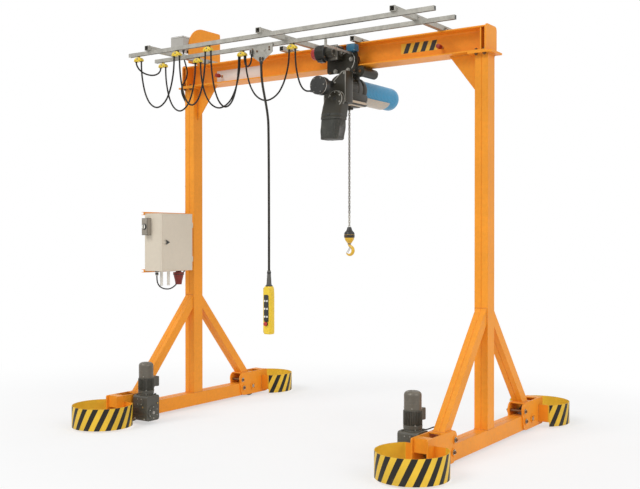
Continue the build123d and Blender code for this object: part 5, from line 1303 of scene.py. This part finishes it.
class CRANE_OT_pendant(CraneOperator):
    """Moulds the push-button station and bolts up its trolley"""

    bl_idname = "crane.pendant"
    bl_label = "Push-button station"

    def execute(self, context):
        self.trolley()
        self.station()
        return {"FINISHED"}

    def trolley(self):
        """Bolts and cable clamps on the trolley's plate."""
        shape = Shape("zinc").use("bolt_brown")
        face = -0.53
        shape.bolts(grid(pair(0.088, -0.27), face, (3.17, 3.19)), FRONT, 0.0065)
        shape.bolt((-0.31, face, 3.168), FRONT, 0.0075)
        shape.bolts(grid(pair(0.011, -0.258), -0.5518, 3.097), FRONT, 0.0045)
        shape.bolt((-0.36, -0.5512, 3.173), FRONT, 0.0045)
        shape.use("zinc").box((-0.392, face - 0.0035, 3.216), (-0.148, face + 0.001, 3.2225))
        shape.bolt((-0.23, face, 3.168), FRONT, 0.0075)
        for x in pair(0.04, -0.27):
            shape.ring((x, face + 0.0002, 3.205), FRONT, 0.005, 0.01, 0.0015, 24)
        shape.use("black_plastic").box((-0.2745, -0.552, 3.0785), (-0.2415, -0.529, 3.1155), 0.003)
        shape.box((-0.3715, -0.5515, 3.1488), (-0.3485, -0.529, 3.1855), 0.0025)
        shape.turned([(0.0125, 0), (0.0145, 0.006), (0.0145, 0.022), (0.0115, 0.03)],
                     (-0.258, STATION_Y, 3.055), steps=24)
        shape.piece("pendant_trolley_bolts", "pendant_trolley", "zinc")

    def station(self):
        """Case with its grip ribs, bellows, button plate and buttons."""
        x, y, low, high = STATION_X, STATION_Y, 0.82, 1.215
        shape = Shape("yellow_plastic")
        rows = []
        for z, half_x, half_y, corner in (
                (low, 0.031, 0.026, 0.01), (low + 0.004, 0.0355, 0.0305, 0.013),
                (low + 0.012, 0.0378, 0.0328, 0.014),
                (high - 0.07, 0.0378, 0.0328, 0.014), (high - 0.02, 0.036, 0.0315, 0.015),
                (high - 0.006, 0.0325, 0.03, 0.016), (high, 0.029, 0.0275, 0.016)):
            rows.append([(x + a, y + b, z) for a, b in rounded(half_x, half_y, corner)])
        shape.layers(rows)
        for outer, i in product(pair(0.0384, x), range(9)):
            shape.block((outer, y, low + 0.058 + i * 0.034), (0.0012, 0.018, 0.008), 0.0008)
        plate = [(x + a, 1.0175 + b) for a, b in rounded(0.0335, 0.19, 0.012)]
        shape.prism(plate, y - 0.035, y - 0.0322, "Y", 0.0008)
        plate = [(x + a, 1.035 + b) for a, b in rounded(0.024, 0.111, 0.009)]
        shape.use("black_plastic").prism(plate, y - 0.0385, y - 0.0345, "Y", 0.0008)
        shape.use("grey_plastic").screws(grid(pair(0.0285, x), y - 0.0349, (0.838, 1.197)), FRONT, 0.0034)
        face = y - 0.038
        for spot in grid(pair(0.012, x), face, (1.0955, 1.031, 0.9665)):
            shape.use("relief_grey").ring(spot, FRONT, 0.0078, 0.0112, 0.004)
            shape.use("pale_plastic").lathe(
                [(0, 0), (0.0078, 0), (0.0078, 0.0072), (0.0066, 0.0086), (0, 0.009)], spot, FRONT, 24)
        spot = (x, face, 0.907)
        shape.use("black_plastic").ring(spot, FRONT, 0.0085, 0.018, 0.005, 32)
        shape.ring((x, y, high - 0.0005), UP, 0.02, 0.0295, 0.009, 32)
        shape.ring((x, y, 1.319), UP, 0.012, 0.0172, 0.013)
        shape.use("red_plastic").lathe(
            [(0, 0), (0.0085, 0), (0.0085, 0.006), (0.0168, 0.0085), (0.0172, 0.014), (0.015, 0.0185),
             (0.008, 0.02),
             (0, 0.0203)], spot, FRONT, 32)
        profile = [(0, high - 0.001), (0.027, high - 0.001), (0.027, high + 0.008)]
        for i in range(9):
            z, radius = high + 0.012 + i * 0.0105, 0.0215 - 0.006 * i / 9
            profile += [(radius, z), (radius + 0.0012, z + 0.0035), (radius - 0.002, z + 0.0065)]
        profile += [(0.015, 1.319), (0.015, 1.344), (0.0125, 1.346), (0, 1.346)]
        shape.use("relief_grey").lathe(profile, (x, y, 0), steps=32)
        shape.piece("push_button_station", "pendant_trolley", "yellow_plastic",
                    replaces=["pendant_station", "pendant_buttons"])


class CRANE_OT_cabinet(CraneOperator):
    """Fits the cabinet's lock, main switch, glands, conduit, inner equipment and horn"""

    bl_idname = "crane.cabinet"
    bl_label = "Control cabinet"

    def execute(self, context):
        self.door()
        self.shell()
        self.inside()
        self.horn()
        return {"FINISHED"}

    def door(self):
        """Lock with its handle, and the pressed border of the door."""
        face, y, z = -1.345, -0.534, 1.575
        shape = Shape("cabinet_paint")
        for a, b in (((-0.584, 1.323), (-0.2, 1.331)), ((-0.584, 1.819), (-0.2, 1.827)),
                     ((-0.584, 1.331), (-0.576, 1.819)), ((-0.208, 1.331), (-0.2, 1.819))):
            shape.box((face - 0.0005, *a), (face + 0.0009, *b), 0.0006)
        shape.use("black_plastic").turned([(0.015, 0), (0.015, 0.0055), (0.0135, 0.0072)], (face, y, z),
                                          RIGHT, 32)
        handle = [(y - 0.013, z + 0.024), (y - 0.013, z - 0.024), (y + 0.032, z - 0.003),
                  (y + 0.032, z + 0.003)]
        shape.prism(handle, face + 0.0068, face + 0.0122, "X", 0.0012)
        shape.use("zinc").ring((face + 0.007, y, z), RIGHT, 0.0062, 0.0085, 0.001, 24)
        shape.piece("door_lock", "cabinet_door", "cabinet_paint")

    def shell(self):
        """Main switch details, gland nuts, conduit and the box on the cable bracket."""
        shape = Shape("black_plastic").use("switch_grey")
        face = -0.642
        shape.box((-1.542, face - 0.003, 1.6385), (-1.474, face + 0.0495, 1.7915), 0.003)
        shape.use("zinc").screws(grid((-1.531, -1.485), face - 0.0018, (1.65, 1.78)), FRONT, 0.0034)
        shape.screws(grid((-1.499, -1.368), (-0.29, -0.03), 3.4712), UP, 0.0042)
        centre = (-1.508, face - 0.002, 1.715)
        shape.use("black_plastic").ring(centre, FRONT, 0.0195, 0.027, 0.0045, 36)
        shape.turned([(0.0215, 0), (0.0215, 0.01), (0.0195, 0.0125)], centre, FRONT, 32)
        shape.box((-1.512, face - 0.0195, 1.696), (-1.504, face - 0.012, 1.734), 0.0015)
        shape.disc((-1.45, -0.547, 1.3055), UP, 0.019, 0.009, 6)
        shape.turned([(0.007, 0), (0.015, 0.012), (0.015, 0.028)], (-1.45, -0.547, 1.271), steps=24)
        shape.turned([(0.015, 0), (0.015, 0.008), (0.008, 0.016)], (-1.5, -0.06, 1.326), FRONT, 20)
        for y in (-0.25, -0.19):
            shape.disc((-1.4, y, 3.3475), UP, 0.0125, 0.008, 6)
            shape.turned([(0.008, 0), (0.0108, 0.005), (0.0108, 0.014)], (-1.4, y, 3.334), steps=20)
        shape.use("pale_plastic")
        for y in (-0.488, -0.398):
            shape.disc((-1.45, y, 1.3045), UP, 0.0205, 0.01, 6)
            for z in (1.182, 1.212, 1.242, 1.272):
                shape.ring((-1.45, y, z), UP, 0.0125, 0.0142, 0.016, 24)
        pipe_x = -1.5673
        shape.ring((pipe_x, -0.03, 2.836), UP, 0.0085, 0.015, 0.018)
        shape.ring((pipe_x, -0.03, 1.849), UP, 0.011, 0.0145, 0.022)
        shape.box((-1.5095, -0.3015, 3.4565), (-1.3565, -0.0185, 3.4715), 0.004)
        shape.box((-1.5105, -0.296, 3.359), (-1.5075, -0.024, 3.452), 0.0015)
        for z in (2.1, 2.45, 2.75):
            shape.use("zinc").ring((pipe_x, -0.03, z), UP, 0.0118, 0.0136, 0.014)
            shape.box((-1.5575, -0.051, z), (-1.5553, -0.009, z + 0.014), 0.0005)
            shape.use("bolt_brown").screws(grid(-1.5572, pair(0.016, -0.03), z + 0.007), LEFT, 0.0032)
        for y in (-0.16, 0.0, 0.16):
            shape.use("zinc").box((-1.35, y - 0.02, 3.2302), (-1.316, y + 0.02, 3.2342))
            shape.box((-1.35, y - 0.02, 3.2342), (-1.3462, y + 0.02, 3.262))
            shape.use("bolt_brown").bolt((-1.3462, y, 3.25), RIGHT, 0.0065)
        shape.bolt((-1.33, 0.0, 3.2342), UP, 0.0075)
        shape.bolts(grid(-1.5832, (-0.56, -0.224, -0.034, 0.034), (1.315, 1.835)), LEFT, 0.0065)
        shape.piece("cabinet_parts", "frame", "cabinet_paint")

    def inside(self):
        """What the open door shows: breakers on their rails, contactors, terminals and ducts."""
        shape = Shape("black_plastic").use("zinc")
        back = -1.528
        unit = back + 0.0076
        for z in (1.745, 1.6, 1.43):
            shape.box((back, -0.545, z - 0.0175), (back + 0.0075, -0.24, z + 0.0175))
        for i in range(7):
            y = -0.535 + i * 0.019
            shape.use("pale_plastic").box((unit, y, 1.705), (back + 0.07, y + 0.0175, 1.785), 0.0015)
            shape.use("black_plastic").box((back + 0.069, y + 0.004, 1.738), (back + 0.08, y + 0.0135, 1.752))
        for i in range(4):
            y = -0.53 + i * 0.066
            shape.use("grey_plastic").box((unit, y, 1.56), (back + 0.078, y + 0.056, 1.64), 0.003)
            shape.use("black_plastic").box((back + 0.077, y + 0.012, 1.583), (back + 0.086, y + 0.044, 1.617),
                                           0.002)
        for i in range(22):
            y = -0.535 + i * 0.0125
            shape.use("grey_plastic").box((unit, y, 1.405), (back + 0.05, y + 0.0112, 1.455))
            shape.use("zinc").screw((back + 0.05, y + 0.0056, 1.443), RIGHT, 0.003)
        for z in (1.655, 1.492, 1.347):
            shape.use("pale_plastic").box((back, -0.56, z), (back + 0.045, -0.225, z + 0.035), 0.0015)
        shape.piece("cabinet_equipment", "frame", "cabinet_paint")

    def horn(self):
        """Flared horn with its driver and rim."""
        shape = Shape("horn_red")
        x, y = -1.44, -0.275
        shape.lathe(
            [(0, 0.13), (0.026, 0.13), (0.026, 0.112), (0.05, 0.112), (0.0505, 0.104), (0.05, 0.088),
             (0.046, 0.086),
             (0.043, 0.07), (0.038, 0.05), (0.034, 0.034), (0.031, 0.016), (0.0295, 0.004), (0.0305, 0.0),
             (0.0285, -0.001), (0.026, 0.004), (0.018, 0.03), (0.01, 0.05), (0, 0.055)], (x, y, 1.185),
             steps=44)
        shape.use("black_plastic").ring((x, y, 1.2745), UP, 0.0465, 0.0508, 0.006, 44)
        shape.use("zinc").screws(circle((x, y, 1.297), UP, 0.04, 4), UP, 0.0035)
        shape.piece("warning_horn", "frame", "red_plastic", replaces=["horn"])


class CRANE_OT_girder(CraneOperator):
    """Puts the plain warning stripes, the blank plate and the end stops' buffers on the girder"""

    bl_idname = "crane.girder"
    bl_label = "Girder plates"

    def execute(self, context):
        web, low, high = -0.00325, 3.1095, 3.1885
        shape = Shape("hazard_yellow").box((0.767, web - 0.0009, 3.108), (1.094, web, 3.19), 0.0002)
        shape.use("hazard_black")
        for x in (0.787, 0.865, 0.943, 1.021):
            stripe = [(x, low), (x + 0.042, low), (x + 0.074, high), (x + 0.032, high)]
            shape.prism(stripe, web - 0.0013, web - 0.0008, "Y")
        shape.piece("girder_stripes", "frame", "hazard_paint")
        plate = Shape("label_white").box((-1.202, web - 0.0016, 3.066), (-0.67, web, 3.172), 0.0006)
        plate.piece("girder_plate", "frame", "cabinet_paint")
        stops, rods = Shape("zinc"), Shape("zinc")
        buffer = [(0, 0), (0.0175, 0), (0.0178, 0.004), (0.015, 0.011), (0.0178, 0.018), (0.0178, 0.022),
                  (0.015, 0.029), (0.0178, 0.036), (0.0165, 0.0445), (0.01, 0.0465), (0, 0.0468)]
        for x, side in product(pair(1.142), (-1, 1)):
            axis, z = (0, side, 0), 3.118
            stops.use("zinc").ring((x, side * 0.037, z), axis, 0.0085, 0.015, 0.006)
            stops.use("red_rubber").lathe(buffer, (x, side * 0.0432, z), axis, 32)
            stops.use("weld_orange").ring((x, side * 0.0032, z), axis, 0.0085, 0.0135, 0.004, 24)
            rods.rod((x, side * 0.0033, z), (x, side * 0.044, z), 0.009)
        stops.piece("stop_buffers", "frame", "red_rubber", replaces=["trolley_stops"])
        rods.piece("stop_rods", "frame", "zinc")
        return {"FINISHED"}


class CRANE_OT_trolley(CraneOperator):
    """Adds the trolley's bolts, the fins and cap of its drive, and its small control box"""

    bl_idname = "crane.trolley"
    bl_label = "Hoist trolley"

    def execute(self, context):
        self.plates()
        self.drive()
        return {"FINISHED"}

    def plates(self):
        """Wheel axle nuts, tie nuts, the light edges and the cable along the front plate; the light tube
        along the plate's edge is a painted highlight.
        """
        shape = Shape("dark_paint")
        for side in (-1, 1):
            outer, axis = side * 0.122, (0, side, 0)
            for x in pair(0.09, HOIST_X):
                if side > 0 or x > HOIST_X:
                    shape.use("dark_paint").ring((x, outer, 3.0953), axis, 0.014, 0.03, 0.004, 32)
                    shape.use("zinc").bolt((x, outer + side * 0.002, 3.0953), axis, 0.015)
            shape.use("dark_paint").ring((0.44, side * 0.112, 2.99), axis, 0.016, 0.034, 0.004, 32)
            shape.use("zinc").bolts(grid(pair(0.062, HOIST_X), side * 0.132, 3.006), axis, 0.0135,
                                    washer=False)
            shape.use("bolt_brown").bolts(grid((0.152, 0.392), outer, 2.998), axis, 0.008)
            shape.bolt((0.44, side * 0.112, 2.99), axis, 0.011)
        # A light tube along the plate's curved edge: a painted highlight.
        edge = [(0.366, -0.1235, 3.149), (0.386, -0.1235, 3.128), (0.394, -0.1235, 3.09),
                (0.386, -0.1235, 3.05),
                (0.366, -0.1235, 3.02)]
        lever = [(0.246, -0.128, 3.09), (0.262, -0.13, 3.122), (0.29, -0.131, 3.146), (0.318, -0.131, 3.158),
                 (0.34, -0.134, 3.166), (0.354, -0.14, 3.174)]
        lead = [(0.42, -0.15, 3.16), (0.42, -0.14, 3.138), (0.414, -0.129, 3.11), (0.41, -0.1265, 3.07),
                (0.409, -0.1265, 3.02), (0.404, -0.133, 2.992), (0.392, -0.15, 2.982), (0.385, -0.175, 2.965)]
        for route, finish, radius in ((edge, "bright_rim", 0.0035), (lever, "bright_rim", 0.0045),
                                      (lead, "black_rubber", 0.004)):
            shape.use(finish).tube(line_points(route), radius)
        shape.use("blue_paint").box((0.3505, -0.1835, 3.1485), (0.4335, -0.179, 3.2095), 0.0018)
        shape.use("zinc").screws(grid((0.358, 0.426), -0.1832, (3.155, 3.203)), FRONT, 0.0032)
        shape.piece("trolley_bolts", "hoist_trolley", "dark_paint")

    def drive(self):
        """Finned motor along the girder, its red cap and the bolted gearbox."""
        shape = Shape("black_plastic")
        y, z = -0.235, 3.147
        for i in range(9):
            shape.ring((0.122 + i * 0.0072, y, z), RIGHT, 0.06, 0.068, 0.0026, 44)
        shape.ring((0.1075, y, z), RIGHT, 0.046, 0.0665, 0.008, 44, 0.002)
        shape.ring((0.189, y, z), RIGHT, 0.036, 0.067, 0.009, 44, 0.002)
        shape.ring((0.0552, y, z), LEFT, 0.012, 0.0145, 0.0012, 28, 0.0003)
        shape.spokes((0.0552, y, z), "X", around(12), (0, 0, 0.0225), (0.0008, 0.0012, 0.0065), 0.0003)
        shape.box((0.128, y - 0.045, z - 0.078), (0.178, y + 0.015, z - 0.06), 0.003)
        shape.use("red_plastic").lathe(
            [(0, 0.1085), (0.042, 0.1085), (0.0472, 0.108), (0.0476, 0.072), (0.046, 0.064), (0.041, 0.0585),
             (0.033, 0.056), (0, 0.0555)], (0, y, z), RIGHT, 40)
        shape.use("zinc")
        for place in circle((0.088, y, z), RIGHT, 0.0474, 4, math.pi / 4):
            shape.screw(place, (0, place[1] - y, place[2] - z), 0.0032)
        shape.bolts(circle((0.2635, y, z), RIGHT, 0.029, 5), RIGHT, 0.0042)
        shape.bolts(grid(pair(0.052, 0.225), -0.2178, pair(0.052, z)), FRONT, 0.006)
        shape.bolt((0.2905, -0.168, z), RIGHT, 0.0085)
        shape.use("bolt_brown").bolts(circle((0.1975, y, z), RIGHT, 0.056, 4, math.pi / 4), RIGHT, 0.0055)
        shape.use("cowl_paint").ring((0.26, y, z), RIGHT, 0.016, 0.0395, 0.0045, 36, 0.001)
        shape.box((0.161, -0.218, 3.083), (0.289, -0.212, 3.211), 0.004)
        shape.ring((0.287, -0.168, z), RIGHT, 0.012, 0.03, 0.005, 32, 0.001)
        shape.piece("trolley_drive_parts", "hoist_trolley", "dark_paint")


class CRANE_OT_hoist(CraneOperator):
    """Casts the hoist's ribs and covers, gives it light rims that are painted edge highlights, and makes its
    motor cover and its round switch box
    """

    bl_idname = "crane.hoist"
    bl_label = "Hoist body"

    def execute(self, context):
        self.body()
        self.motor()
        self.switches()
        return {"FINISHED"}

    def body(self):
        """Gear casing with light rims that are painted edge highlights, the round body behind it, lugs, chute
        and the round front cover.
        """
        shape = Shape("grey_paint")
        casing = [(0.175, 2.72), (0.4, 2.72), (0.4, 2.982), (0.358, 2.982), (0.175, 2.82)]
        shape.prism(casing, -0.26, -0.155, "Y", 0.011)
        shape.turned([(0.098, -0.17), (0.1105, -0.158), (0.112, -0.145), (0.112, -0.06), (0.108, -0.055),
                      (0.108, -0.04), (0.112, -0.035), (0.112, 0.02), (0.104, 0.032)], (DRUM_X, 0, DRUM_Z),
                      REAR, 64)
        shape.box((0.188, -0.165, 2.762), (0.388, 0.1, 2.822), 0.014)
        shape.box((0.184, -0.026, 2.93), (0.356, 0.026, 3.024), 0.008)
        shape.box((0.198, -0.062, 2.714), (0.33, 0.062, 2.7215), 0.002)
        shape.ring((CHAIN_X, 0, 2.6975), UP, 0.015, 0.033, 0.024, 36, 0.002)
        shape.spokes((DRUM_X, -0.1025, DRUM_Z), "Y", [-angle for angle in around(20, 0.1)], (0.1125, 0, 0),
                     (0.0025, 0.04, 0.0022), 0.001)
        flat = rounded(0.0925, 0.084, 0.045, 9)
        shape.layers([[(x + a * grow, BAG_Y + b * grow, z) for a, b in flat] for x, z, grow in (
            (0.29, 2.76, 0.86), (0.286, 2.72, 0.96), (0.28, 2.69, 0.99), (0.271, 2.645, 1.0),
            (0.262, 2.601, 1.0),
            (0.262, 2.601, 0.95), (0.272, 2.65, 0.95))])
        x, z = 0.32, 2.75
        shape.lathe([(0, 0), (0.0655, 0), (0.0665, 0.004), (0.0665, 0.04), (0.0625, 0.047), (0.04, 0.0525),
                     (0, 0.0535)], (x, -0.259, z), FRONT, 48)
        shape.ring((x, -0.311, z), FRONT, 0.014, 0.026, 0.0045, 32, 0.001)
        # Painted highlights: light rings round the front cover's rim, and the light rims of the casing below.
        shape.use("casting_edge").ring((x, -0.2985, z), FRONT, 0.059, 0.0672, 0.007, 48, 0.0012)
        shape.ring((x, -0.262, z), FRONT, 0.06, 0.069, 0.006, 48, 0.0012)
        self.rims(shape)
        shape.use("tray_beige").box((0.19, -0.15, 2.721), (0.384, 0.098, 2.768), 0.014)
        shape.use("black_plastic").lathe([(0, 0), (0.0135, 0), (0.012, 0.004), (0, 0.0045)], (x, -0.311, z),
                                         FRONT, 24)
        shape.use("zinc").bolts(circle((x, -0.3085, z), FRONT, 0.052, 6, math.pi / 6), FRONT, 0.0055)
        corner = ((0.199, 2.744), (0.377, 2.744), (0.377, 2.958), (0.199, 2.806), (0.29, 2.888))
        shape.bolts([(a, -0.2602, b) for a, b in corner], FRONT, 0.0062)
        shape.bolts(grid(pair(0.052, CHAIN_X), pair(0.045), 2.72), DOWN, 0.007)
        for a, side in product(pair(0.062, HOIST_X), (-1, 1)):
            shape.ring((a, side * 0.0262, 3.006), (0, side, 0), 0.0125, 0.0185, 0.004)
        shape.piece("hoist_casing", "hoist_trolley", "grey_paint", replaces=["hoist_body"])

    def rims(self, shape):
        """Light edges round the casing's two faces and along its slope, painted highlights where the edges
        catch the light.
        """
        inner = [(0.187, 2.732), (0.388, 2.732), (0.388, 2.97), (0.363, 2.97), (0.187, 2.8145)]
        outer = [(0.18, 2.725), (0.395, 2.725), (0.395, 2.977), (0.36, 2.977), (0.18, 2.818)]
        for y, rise in ((-0.2602, -0.0022), (-0.1548, 0.0022)):
            rows = ((outer, y), (outer, y + rise), (inner, y + rise), (inner, y))
            shape.layers([[(x, depth, z) for x, z in line] for line, depth in rows], closed=True)
        a, b = Vector((0.186, 0, 2.829)), Vector((0.35, 0, 2.9745))
        lean = Matrix.Rotation(-math.atan2(b.z - a.z, b.x - a.x), 4, "Y")
        for y in (-0.248, -0.167):
            shape.block((a + b) / 2 + Vector((0, y, 0)), ((b - a).length / 2 + 0.008, 0.005, 0.0022), 0.0008,
                        lean)

    def motor(self):
        """Ribbed blue cover on its dark bell, with a beige tray under it."""
        x, z = DRUM_X, DRUM_Z
        shape = Shape("motor_blue")
        start, end, ribs, pitch = 0.088, 0.676, 21, 0.0235
        profile = [(0, start), (0.094, start), (0.0995, start + 0.004)]
        for i in range(ribs):
            at = start + 0.012 + i * pitch
            profile += [(0.0995, at), (0.0995, at + 0.0155), (0.0972, at + 0.0172), (0.0972, at + 0.0218)]
        profile += [(0.0995, start + 0.012 + ribs * pitch), (0.0998, end - 0.05)]
        profile += arc(0.0608, end - 0.04, 0.039, 0, 90, 8)[1:-1]
        profile += [(0.058, end - 0.0008), (0.056, end - 0.0045), (0, end - 0.0045)]
        shape.lathe(profile, (x, 0, z), REAR, 64)
        for radius in (0.014, 0.026, 0.038, 0.05):
            shape.ring((x, end - 0.005, z), REAR, radius - 0.0014, radius + 0.0014, 0.004, 40, 0.0005)
        shape.spokes((x, end - 0.003, z), "Y", around(8), (0.033, 0, 0), (0.023, 0.0016, 0.0013), 0.0004)
        tray = arc(x, z, 0.106, 213, 327, 16) + arc(x, z, 0.09911, 327, 213, 16)
        shape.use("tray_beige").prism(tray, 0.04, 0.51, "Y", 0.0008)
        shape.use("grey_paint").turned([(0.1, 0.025), (0.108, 0.036), (0.1115, 0.05), (0.112, 0.082),
                                        (0.109, 0.092)], (x, 0, z), REAR, 64)
        spots = circle((x, 0.09, z), REAR, 0.1045, 8, math.pi / 8)
        shape.use("zinc").bolts([spot for spot in spots if spot[2] > z - 0.052], REAR, 0.0045)
        for spot in circle((x, end - 0.07, z), REAR, 0.0999, 4, math.pi / 4)[:2]:
            shape.screw(spot, (spot[0] - x, 0, spot[2] - z), 0.0045)
        shape.piece("motor_shell", "hoist_trolley", "blue_paint", replaces=["motor_cover"])

    def switches(self):
        """Round switch box with its lid, screws, arm and cable glands."""
        x, z = 0.255, 2.845
        shape = Shape("black_plastic")
        shape.ring((x, -0.389, z), FRONT, 0.06, 0.0752, 0.0115, 56, 0.002)
        shape.ring((x, -0.469, z), FRONT, 0.025, 0.03, 0.0022, 40)
        shape.lathe(
            [(0.04, 0.444), (0.075, 0.444), (0.0755, 0.447), (0.0752, 0.46), (0.07, 0.4675), (0.03, 0.47),
             (0, 0.4705)],
            (x, 0, z), FRONT, 56)
        shape.spokes((x, -0.47, z), "Y", around(6)[:3], (0, 0, 0), (0.024, 0.0008, 0.0012), 0.0003)
        shape.disc((0.1835, -0.426, 2.81), LEFT, 0.0145, 0.009, 6)
        shape.turned([(0.012, 0), (0.012, 0.01), (0.0088, 0.015)], (0.175, -0.426, 2.81), LEFT, 24)
        shape.use("bright_rim").ring((x, -0.438, z), FRONT, 0.066, 0.0753, 0.006, 56, 0.0012)
        shape.use("zinc").screws(circle((x, -0.468, z), FRONT, 0.062, 6), FRONT, 0.0042)
        shape.use("bolt_brown").bolts(grid(pair(0.012, x), -0.3, 2.8635), UP, 0.0055)
        shape.piece("switch_box_parts", "hoist_trolley", "black_plastic")


class CRANE_OT_chain_bag(CraneOperator):
    """Sews the chain bag, lets its cloth settle round the load, and hems it"""

    bl_idname = "crane.chain_bag"
    bl_label = "Chain bag"

    TOP, LOW = 2.5985, 2.432
    ROUND, ROWS = 96, 26
    FRAMES, MOST_MOVE, LOWEST = 18, 0.008, 2.4235

    def execute(self, context):
        data = self.sewn()
        self.settle(context, data)
        bag = place_piece("chain_bag_cloth", data, ["chain_bag"])
        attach(bag, "hoist_trolley")
        self.trim()
        return {"FINISHED"}

    def outline(self, share, shrink=1.0):
        """One row of the bag: a rounded oblong that grows and leans down the bag, with its folds."""
        height = self.TOP + (self.LOW - self.TOP) * share
        centre = 0.262 - 0.013 * share
        swell = 0.97 + 0.055 * math.sin(math.pi * min(share * 1.15, 1.0) * 0.62)
        fold = sizes().bag_fold * math.sin(math.pi * min(share, 0.98)) ** 0.7
        row = []
        flat = rounded(0.0895, 0.081, 0.045, self.ROUND // 4 - 1)
        for number, (a, b) in enumerate(flat):
            angle = FULL * number / len(flat)
            ripple = (math.sin(angle * 5 + share * 2.4) * 0.55 + math.sin(angle * 9 - share * 5.0 + 1.3) * 0.3
                      + math.sin(angle * 14 + share * 7.0) * 0.15)
            grow = (swell + ripple * fold / 0.085) * shrink
            drop = 0.0035 * math.sin(angle * 3 + 0.8) * share
            row.append((centre + a * grow, BAG_Y + b * grow, height + drop))
        return row

    def sewn(self):
        """The bag's shell, closed below."""
        rows = [self.outline(i / self.ROWS) for i in range(self.ROWS + 1)]
        for step in (0.965, 0.9, 0.78, 0.62, 0.44, 0.26, 0.1):
            row = self.outline(1.0, step)
            sink = 0.01 * (1.0 - step) ** 0.8 if step < 0.97 else 0.0
            edge = 0.004 if step > 0.93 else 0.0065
            rows.append([(x, y, z - edge * 0.5 - sink * 0.3) for x, y, z in row])
        shape = Shape("bag_fabric")
        shape.layers(rows)
        return shape.mesh("chain_bag", 180)

    def settle(self, context, data):
        """Cloth simulation: the top is held and the load presses the sides and the bottom out."""
        thing = bpy.data.objects.new("settling_bag", data.copy())
        context.scene.collection.objects.link(thing)
        held = thing.vertex_groups.new(name="held")
        for vertex in thing.data.vertices:
            down = (self.TOP - vertex.co.z) / (self.TOP - self.LOW)
            held.add([vertex.index], max(0.0, min(1.0, 1.0 - down * 4.0)), "REPLACE")
        cloth = thing.modifiers.new("cloth", "CLOTH")
        for name, value in (
                ("quality", 6), ("mass", 0.25), ("tension_stiffness", 25.0), ("compression_stiffness", 12.0),
                ("bending_stiffness", 0.6), ("vertex_group_mass", "held"), ("use_pressure", True),
                ("uniform_pressure_force", 2.0)):
            setattr(cloth.settings, name, value)
        cloth.collision_settings.use_self_collision = False
        for step in range(1, self.FRAMES + 1):
            context.scene.frame_set(step)
        shown = thing.evaluated_get(context.evaluated_depsgraph_get()).to_mesh()
        for vertex, settled in zip(data.vertices, shown.vertices):
            move = settled.co - vertex.co
            if move.length > self.MOST_MOVE:
                move = move.normalized() * self.MOST_MOVE
            place = vertex.co + move
            place.z = max(place.z, self.LOWEST)
            vertex.co = place
        thing.to_mesh_clear()
        left = thing.data
        bpy.data.objects.remove(thing)
        bpy.data.meshes.remove(left)
        context.scene.frame_set(1)

    def trim(self):
        """Hem, strap round the chute, stitches, buckle and pull tab."""
        shape = Shape("bag_fabric")
        flat = rounded(0.0925, 0.084, 0.046, 11)
        for low, high, out in ((2.588, 2.604, 0.0), (2.615, 2.633, 0.001)):
            centre = 0.2625 + (low - 2.588) * 0.2
            outer = 1.0 + out / 0.09
            rows = ((0.975, low), (outer, low), (outer + 0.012, (low + high) / 2), (outer, high),
                    (0.975, high))
            shape.layers([[(centre + a * grow, BAG_Y + b * grow, z) for a, b in flat] for grow, z in rows],
                         closed=True)
        stitches = 60
        for i in range(stitches):
            a, b = flat[int(i * len(flat) / stitches)]
            place = Vector((0.2635 + a * 1.013, BAG_Y + b * 1.013, 2.5925))
            along = Vector((-b, a, 0)).normalized()
            shape.use("zinc").tube([place - along * 0.0022, place, place + along * 0.0022], 0.0005, 5)
        shape.use("black_plastic").box((0.248, -0.3265, 2.613), (0.278, -0.3205, 2.635), 0.0015)
        shape.use("bag_fabric").box((0.344, -0.252, 2.578), (0.3495, -0.222, 2.601), 0.0015)
        shape.piece("chain_bag_hem", "hoist_trolley", "bag_fabric")


CLASSES = (
    CraneSizes, CraneColours, CRANE_OT_stage, CRANE_OT_finishes, CRANE_OT_cables, CRANE_OT_chain,
    CRANE_OT_hook,
    CRANE_OT_frame_bolts, CRANE_OT_welds, CRANE_OT_travel_drives, CRANE_OT_wheels, CRANE_OT_festoon,
    CRANE_OT_pendant,
    CRANE_OT_cabinet, CRANE_OT_girder, CRANE_OT_trolley, CRANE_OT_hoist, CRANE_OT_chain_bag,
)
OPERATORS = [thing for thing in CLASSES if issubclass(thing, CraneOperator)]


class CRANE_PT_panel(bpy.types.Panel):
    """Lists the crane's operators, sizes and colours"""

    bl_idname = "CRANE_PT_panel"
    bl_label = "Gantry crane"
    bl_space_type = "VIEW_3D"
    bl_region_type = "UI"
    bl_category = "Crane"

    def draw(self, context):
        layout = self.layout
        for operator in OPERATORS:
            layout.operator(operator.bl_idname)
        for group in (context.scene.crane_sizes, context.scene.crane_colours):
            box = layout.box()
            for name in group.bl_rna.properties.keys():
                if name not in ("rna_type", "name"):
                    box.prop(group, name)


def register():
    for thing in (*CLASSES, CRANE_PT_panel):
        bpy.utils.register_class(thing)
    bpy.types.Scene.crane_sizes = bpy.props.PointerProperty(type=CraneSizes)
    bpy.types.Scene.crane_colours = bpy.props.PointerProperty(type=CraneColours)


def unregister():
    del bpy.types.Scene.crane_colours
    del bpy.types.Scene.crane_sizes
    for thing in reversed((*CLASSES, CRANE_PT_panel)):
        bpy.utils.unregister_class(thing)


def main():
    register()
    bpy.ops.crane.stage()
    bpy.ops.crane.finishes()
    bpy.ops.crane.cables()
    bpy.ops.crane.chain()
    bpy.ops.crane.hook()
    bpy.ops.crane.frame_bolts()
    bpy.ops.crane.welds()
    bpy.ops.crane.travel_drives()
    bpy.ops.crane.wheels()
    bpy.ops.crane.festoon()
    bpy.ops.crane.pendant()
    bpy.ops.crane.cabinet()
    bpy.ops.crane.girder()
    bpy.ops.crane.trolley()
    bpy.ops.crane.hoist()
    bpy.ops.crane.chain_bag()


if __name__ == "__main__":
    main()
